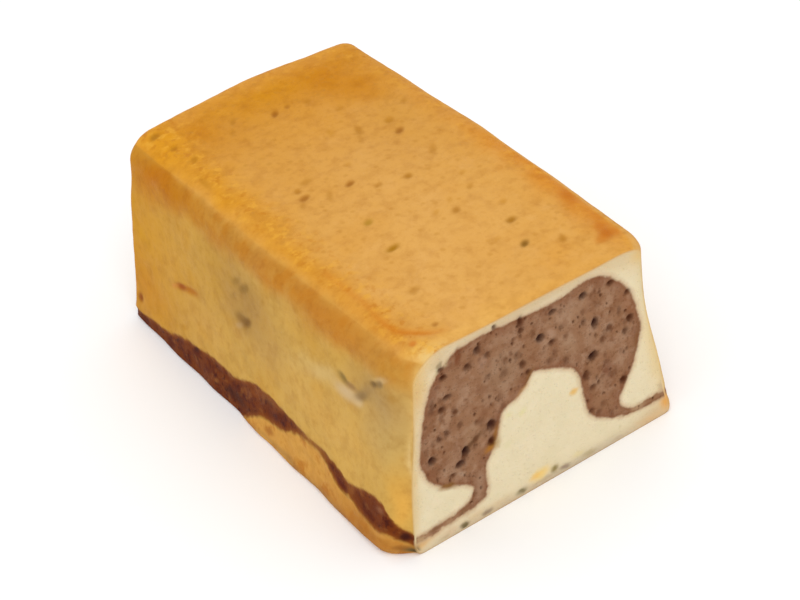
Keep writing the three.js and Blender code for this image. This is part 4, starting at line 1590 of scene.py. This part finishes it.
# %% Cream and cocoa
crumb_material, tree, crumb = new_material("cut_crumb")
cream = layered(
    tree, CREAM,
    ((223, 208, 172), 9, 0.45, 0.65, 1, 0.6),
    ((232, 216, 184), 5, 0.5, 0.7, 2, 0.5),
    ((218, 202, 158), 1.8, 0.55, 0.8, 3, 0.3))
cream = paint(tree, cream, measure(tree, "tint_colour", "Color"), measure(tree, "tint"))
brown = layered(
    tree, (148, 108, 80),
    ((158, 122, 96), 6, 0.45, 0.62, 4, 0.8),
    ((132, 90, 64), 4.2, 0.46, 0.68, 5, 0.75),
    ((172, 138, 112), 3.6, 0.5, 0.68, 6, 0.45),
    ((116, 74, 50), 2.2, 0.52, 0.76, 7, 0.6))

# %% The arch darkens towards its edge and ends in a soft one
# depth in the cocoa where a tone starts, where it is full, then none and its strength
BROAD_EDGE = (4, 0.5, 0, 0.6)
FINE_EDGE = (1.4, 0.2, 0, 0.45)
STAINED_CREAM = (-1.7, 0, 0, 0.6)
depth_in_cocoa = measure(tree, "cocoa")
brown = paint(tree, brown, (130, 84, 60), calc(
    tree, 'MULTIPLY', spread(tree, depth_in_cocoa, *BROAD_EDGE),
    drifting(tree, 5, 0.35, 0.6, 8)))
brown = paint(tree, brown, (126, 82, 56), spread(tree, depth_in_cocoa, *FINE_EDGE))
in_cocoa = use_group(tree, fray_edge, distance=depth_in_cocoa, fray=0.16,
                     fray_size=1.2, softness=0.5)["Mask"]
colour = paint(tree, cream, (196, 162, 128), spread(tree, depth_in_cocoa, *STAINED_CREAM))
colour = paint(tree, colour, brown, in_cocoa)

# %% Stains and the feel of the crumb
HOLE_SHADE = (84, 50, 30)
SHADE_IN_CREAM, SHADE_IN_COCOA = 0.03, 0.25
HOLE_DEPTH = 0.5
CRUMB_BUMP = 0.16
colour = paint(tree, colour, measure(tree, "mark_colour", "Color"), measure(tree, "mark"))
holes = use_group(tree, grain, hole_size=0.8, share=0.5, seed=2)
dimmed = calc(tree, 'MULTIPLY', holes["Hole"],
              spread(tree, depth_in_cocoa, -0.3, 0.3, SHADE_IN_CREAM, SHADE_IN_COCOA))
colour = paint(tree, colour, HOLE_SHADE, dimmed)
plug(tree, colour, crumb.inputs["Base Color"])
height = calc(tree, 'SUBTRACT', holes["Grain"],
              calc(tree, 'MULTIPLY', holes["Hole"], HOLE_DEPTH))
plug(tree, bump(tree, height, CRUMB_BUMP), crumb.inputs["Normal"])
for name, value in (
        ("Roughness", 0.9), ("Specular IOR Level", 0.06), ("Subsurface Weight", 0.15),
        ("Subsurface Radius", (1, 0.6, 0.35)), ("Subsurface Scale", 1.2 * MM)):
    crumb.inputs[name].default_value = value
cut_crumb.data.materials.append(crumb_material)
print("finish", crumb_material.name, "has", len(tree.nodes), "nodes")

# %% [markdown]
# ## What each piece stands for
#
# Both pieces stand for the one imported solid, and the cake has one body.

# %% Ride and replace
for piece, finish in ((baked_crust, "baked_crust"), (cut_crumb, "cut_crumb")):
    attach(piece, "root")
    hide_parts("marble_cake")

# %% [markdown]
# ## Floor and light
#
# The cake stands on a plain pale floor in soft studio light. Most of the light
# comes evenly from all round, as in a white tent, and one wide lamp over the
# camera makes the top and the cut face a little brighter than the left side.

# %% A pale floor
FLOOR_SIZE = 3
floor_mesh = bmesh.new()
bmesh.ops.create_grid(floor_mesh, x_segments=1, y_segments=1, size=FLOOR_SIZE)
floor = to_object(floor_mesh, "floor")
floor_material, tree, paper = new_material("pale_floor")
for name, value in (("Base Color", (0.98, 0.98, 0.98, 1)), ("Roughness", 0.9),
                    ("Specular IOR Level", 0.1)):
    paper.inputs[name].default_value = value
floor.data.materials.append(floor_material)

# %% Soft light
LAMP_PLACE = (-0.5, -1, 1.2)
LAMP_SIZE = 0.9
LAMP_POWER = 6
bpy.context.scene.view_settings.view_transform = 'Standard'
world = bpy.data.worlds.new("white_tent")
world.use_nodes = True
tent = world.node_tree.nodes["Background"]
tent.inputs["Color"].default_value = (1, 1, 1, 1)
tent.inputs["Strength"].default_value = 1
bpy.context.scene.world = world

light = bpy.data.lights.new("front_lamp", 'AREA')
light.size = LAMP_SIZE
light.energy = LAMP_POWER
lamp = add_object("front_lamp", light)
lamp.location = LAMP_PLACE
lamp.rotation_euler = Vector(LAMP_PLACE).to_track_quat('Z', 'Y').to_euler()
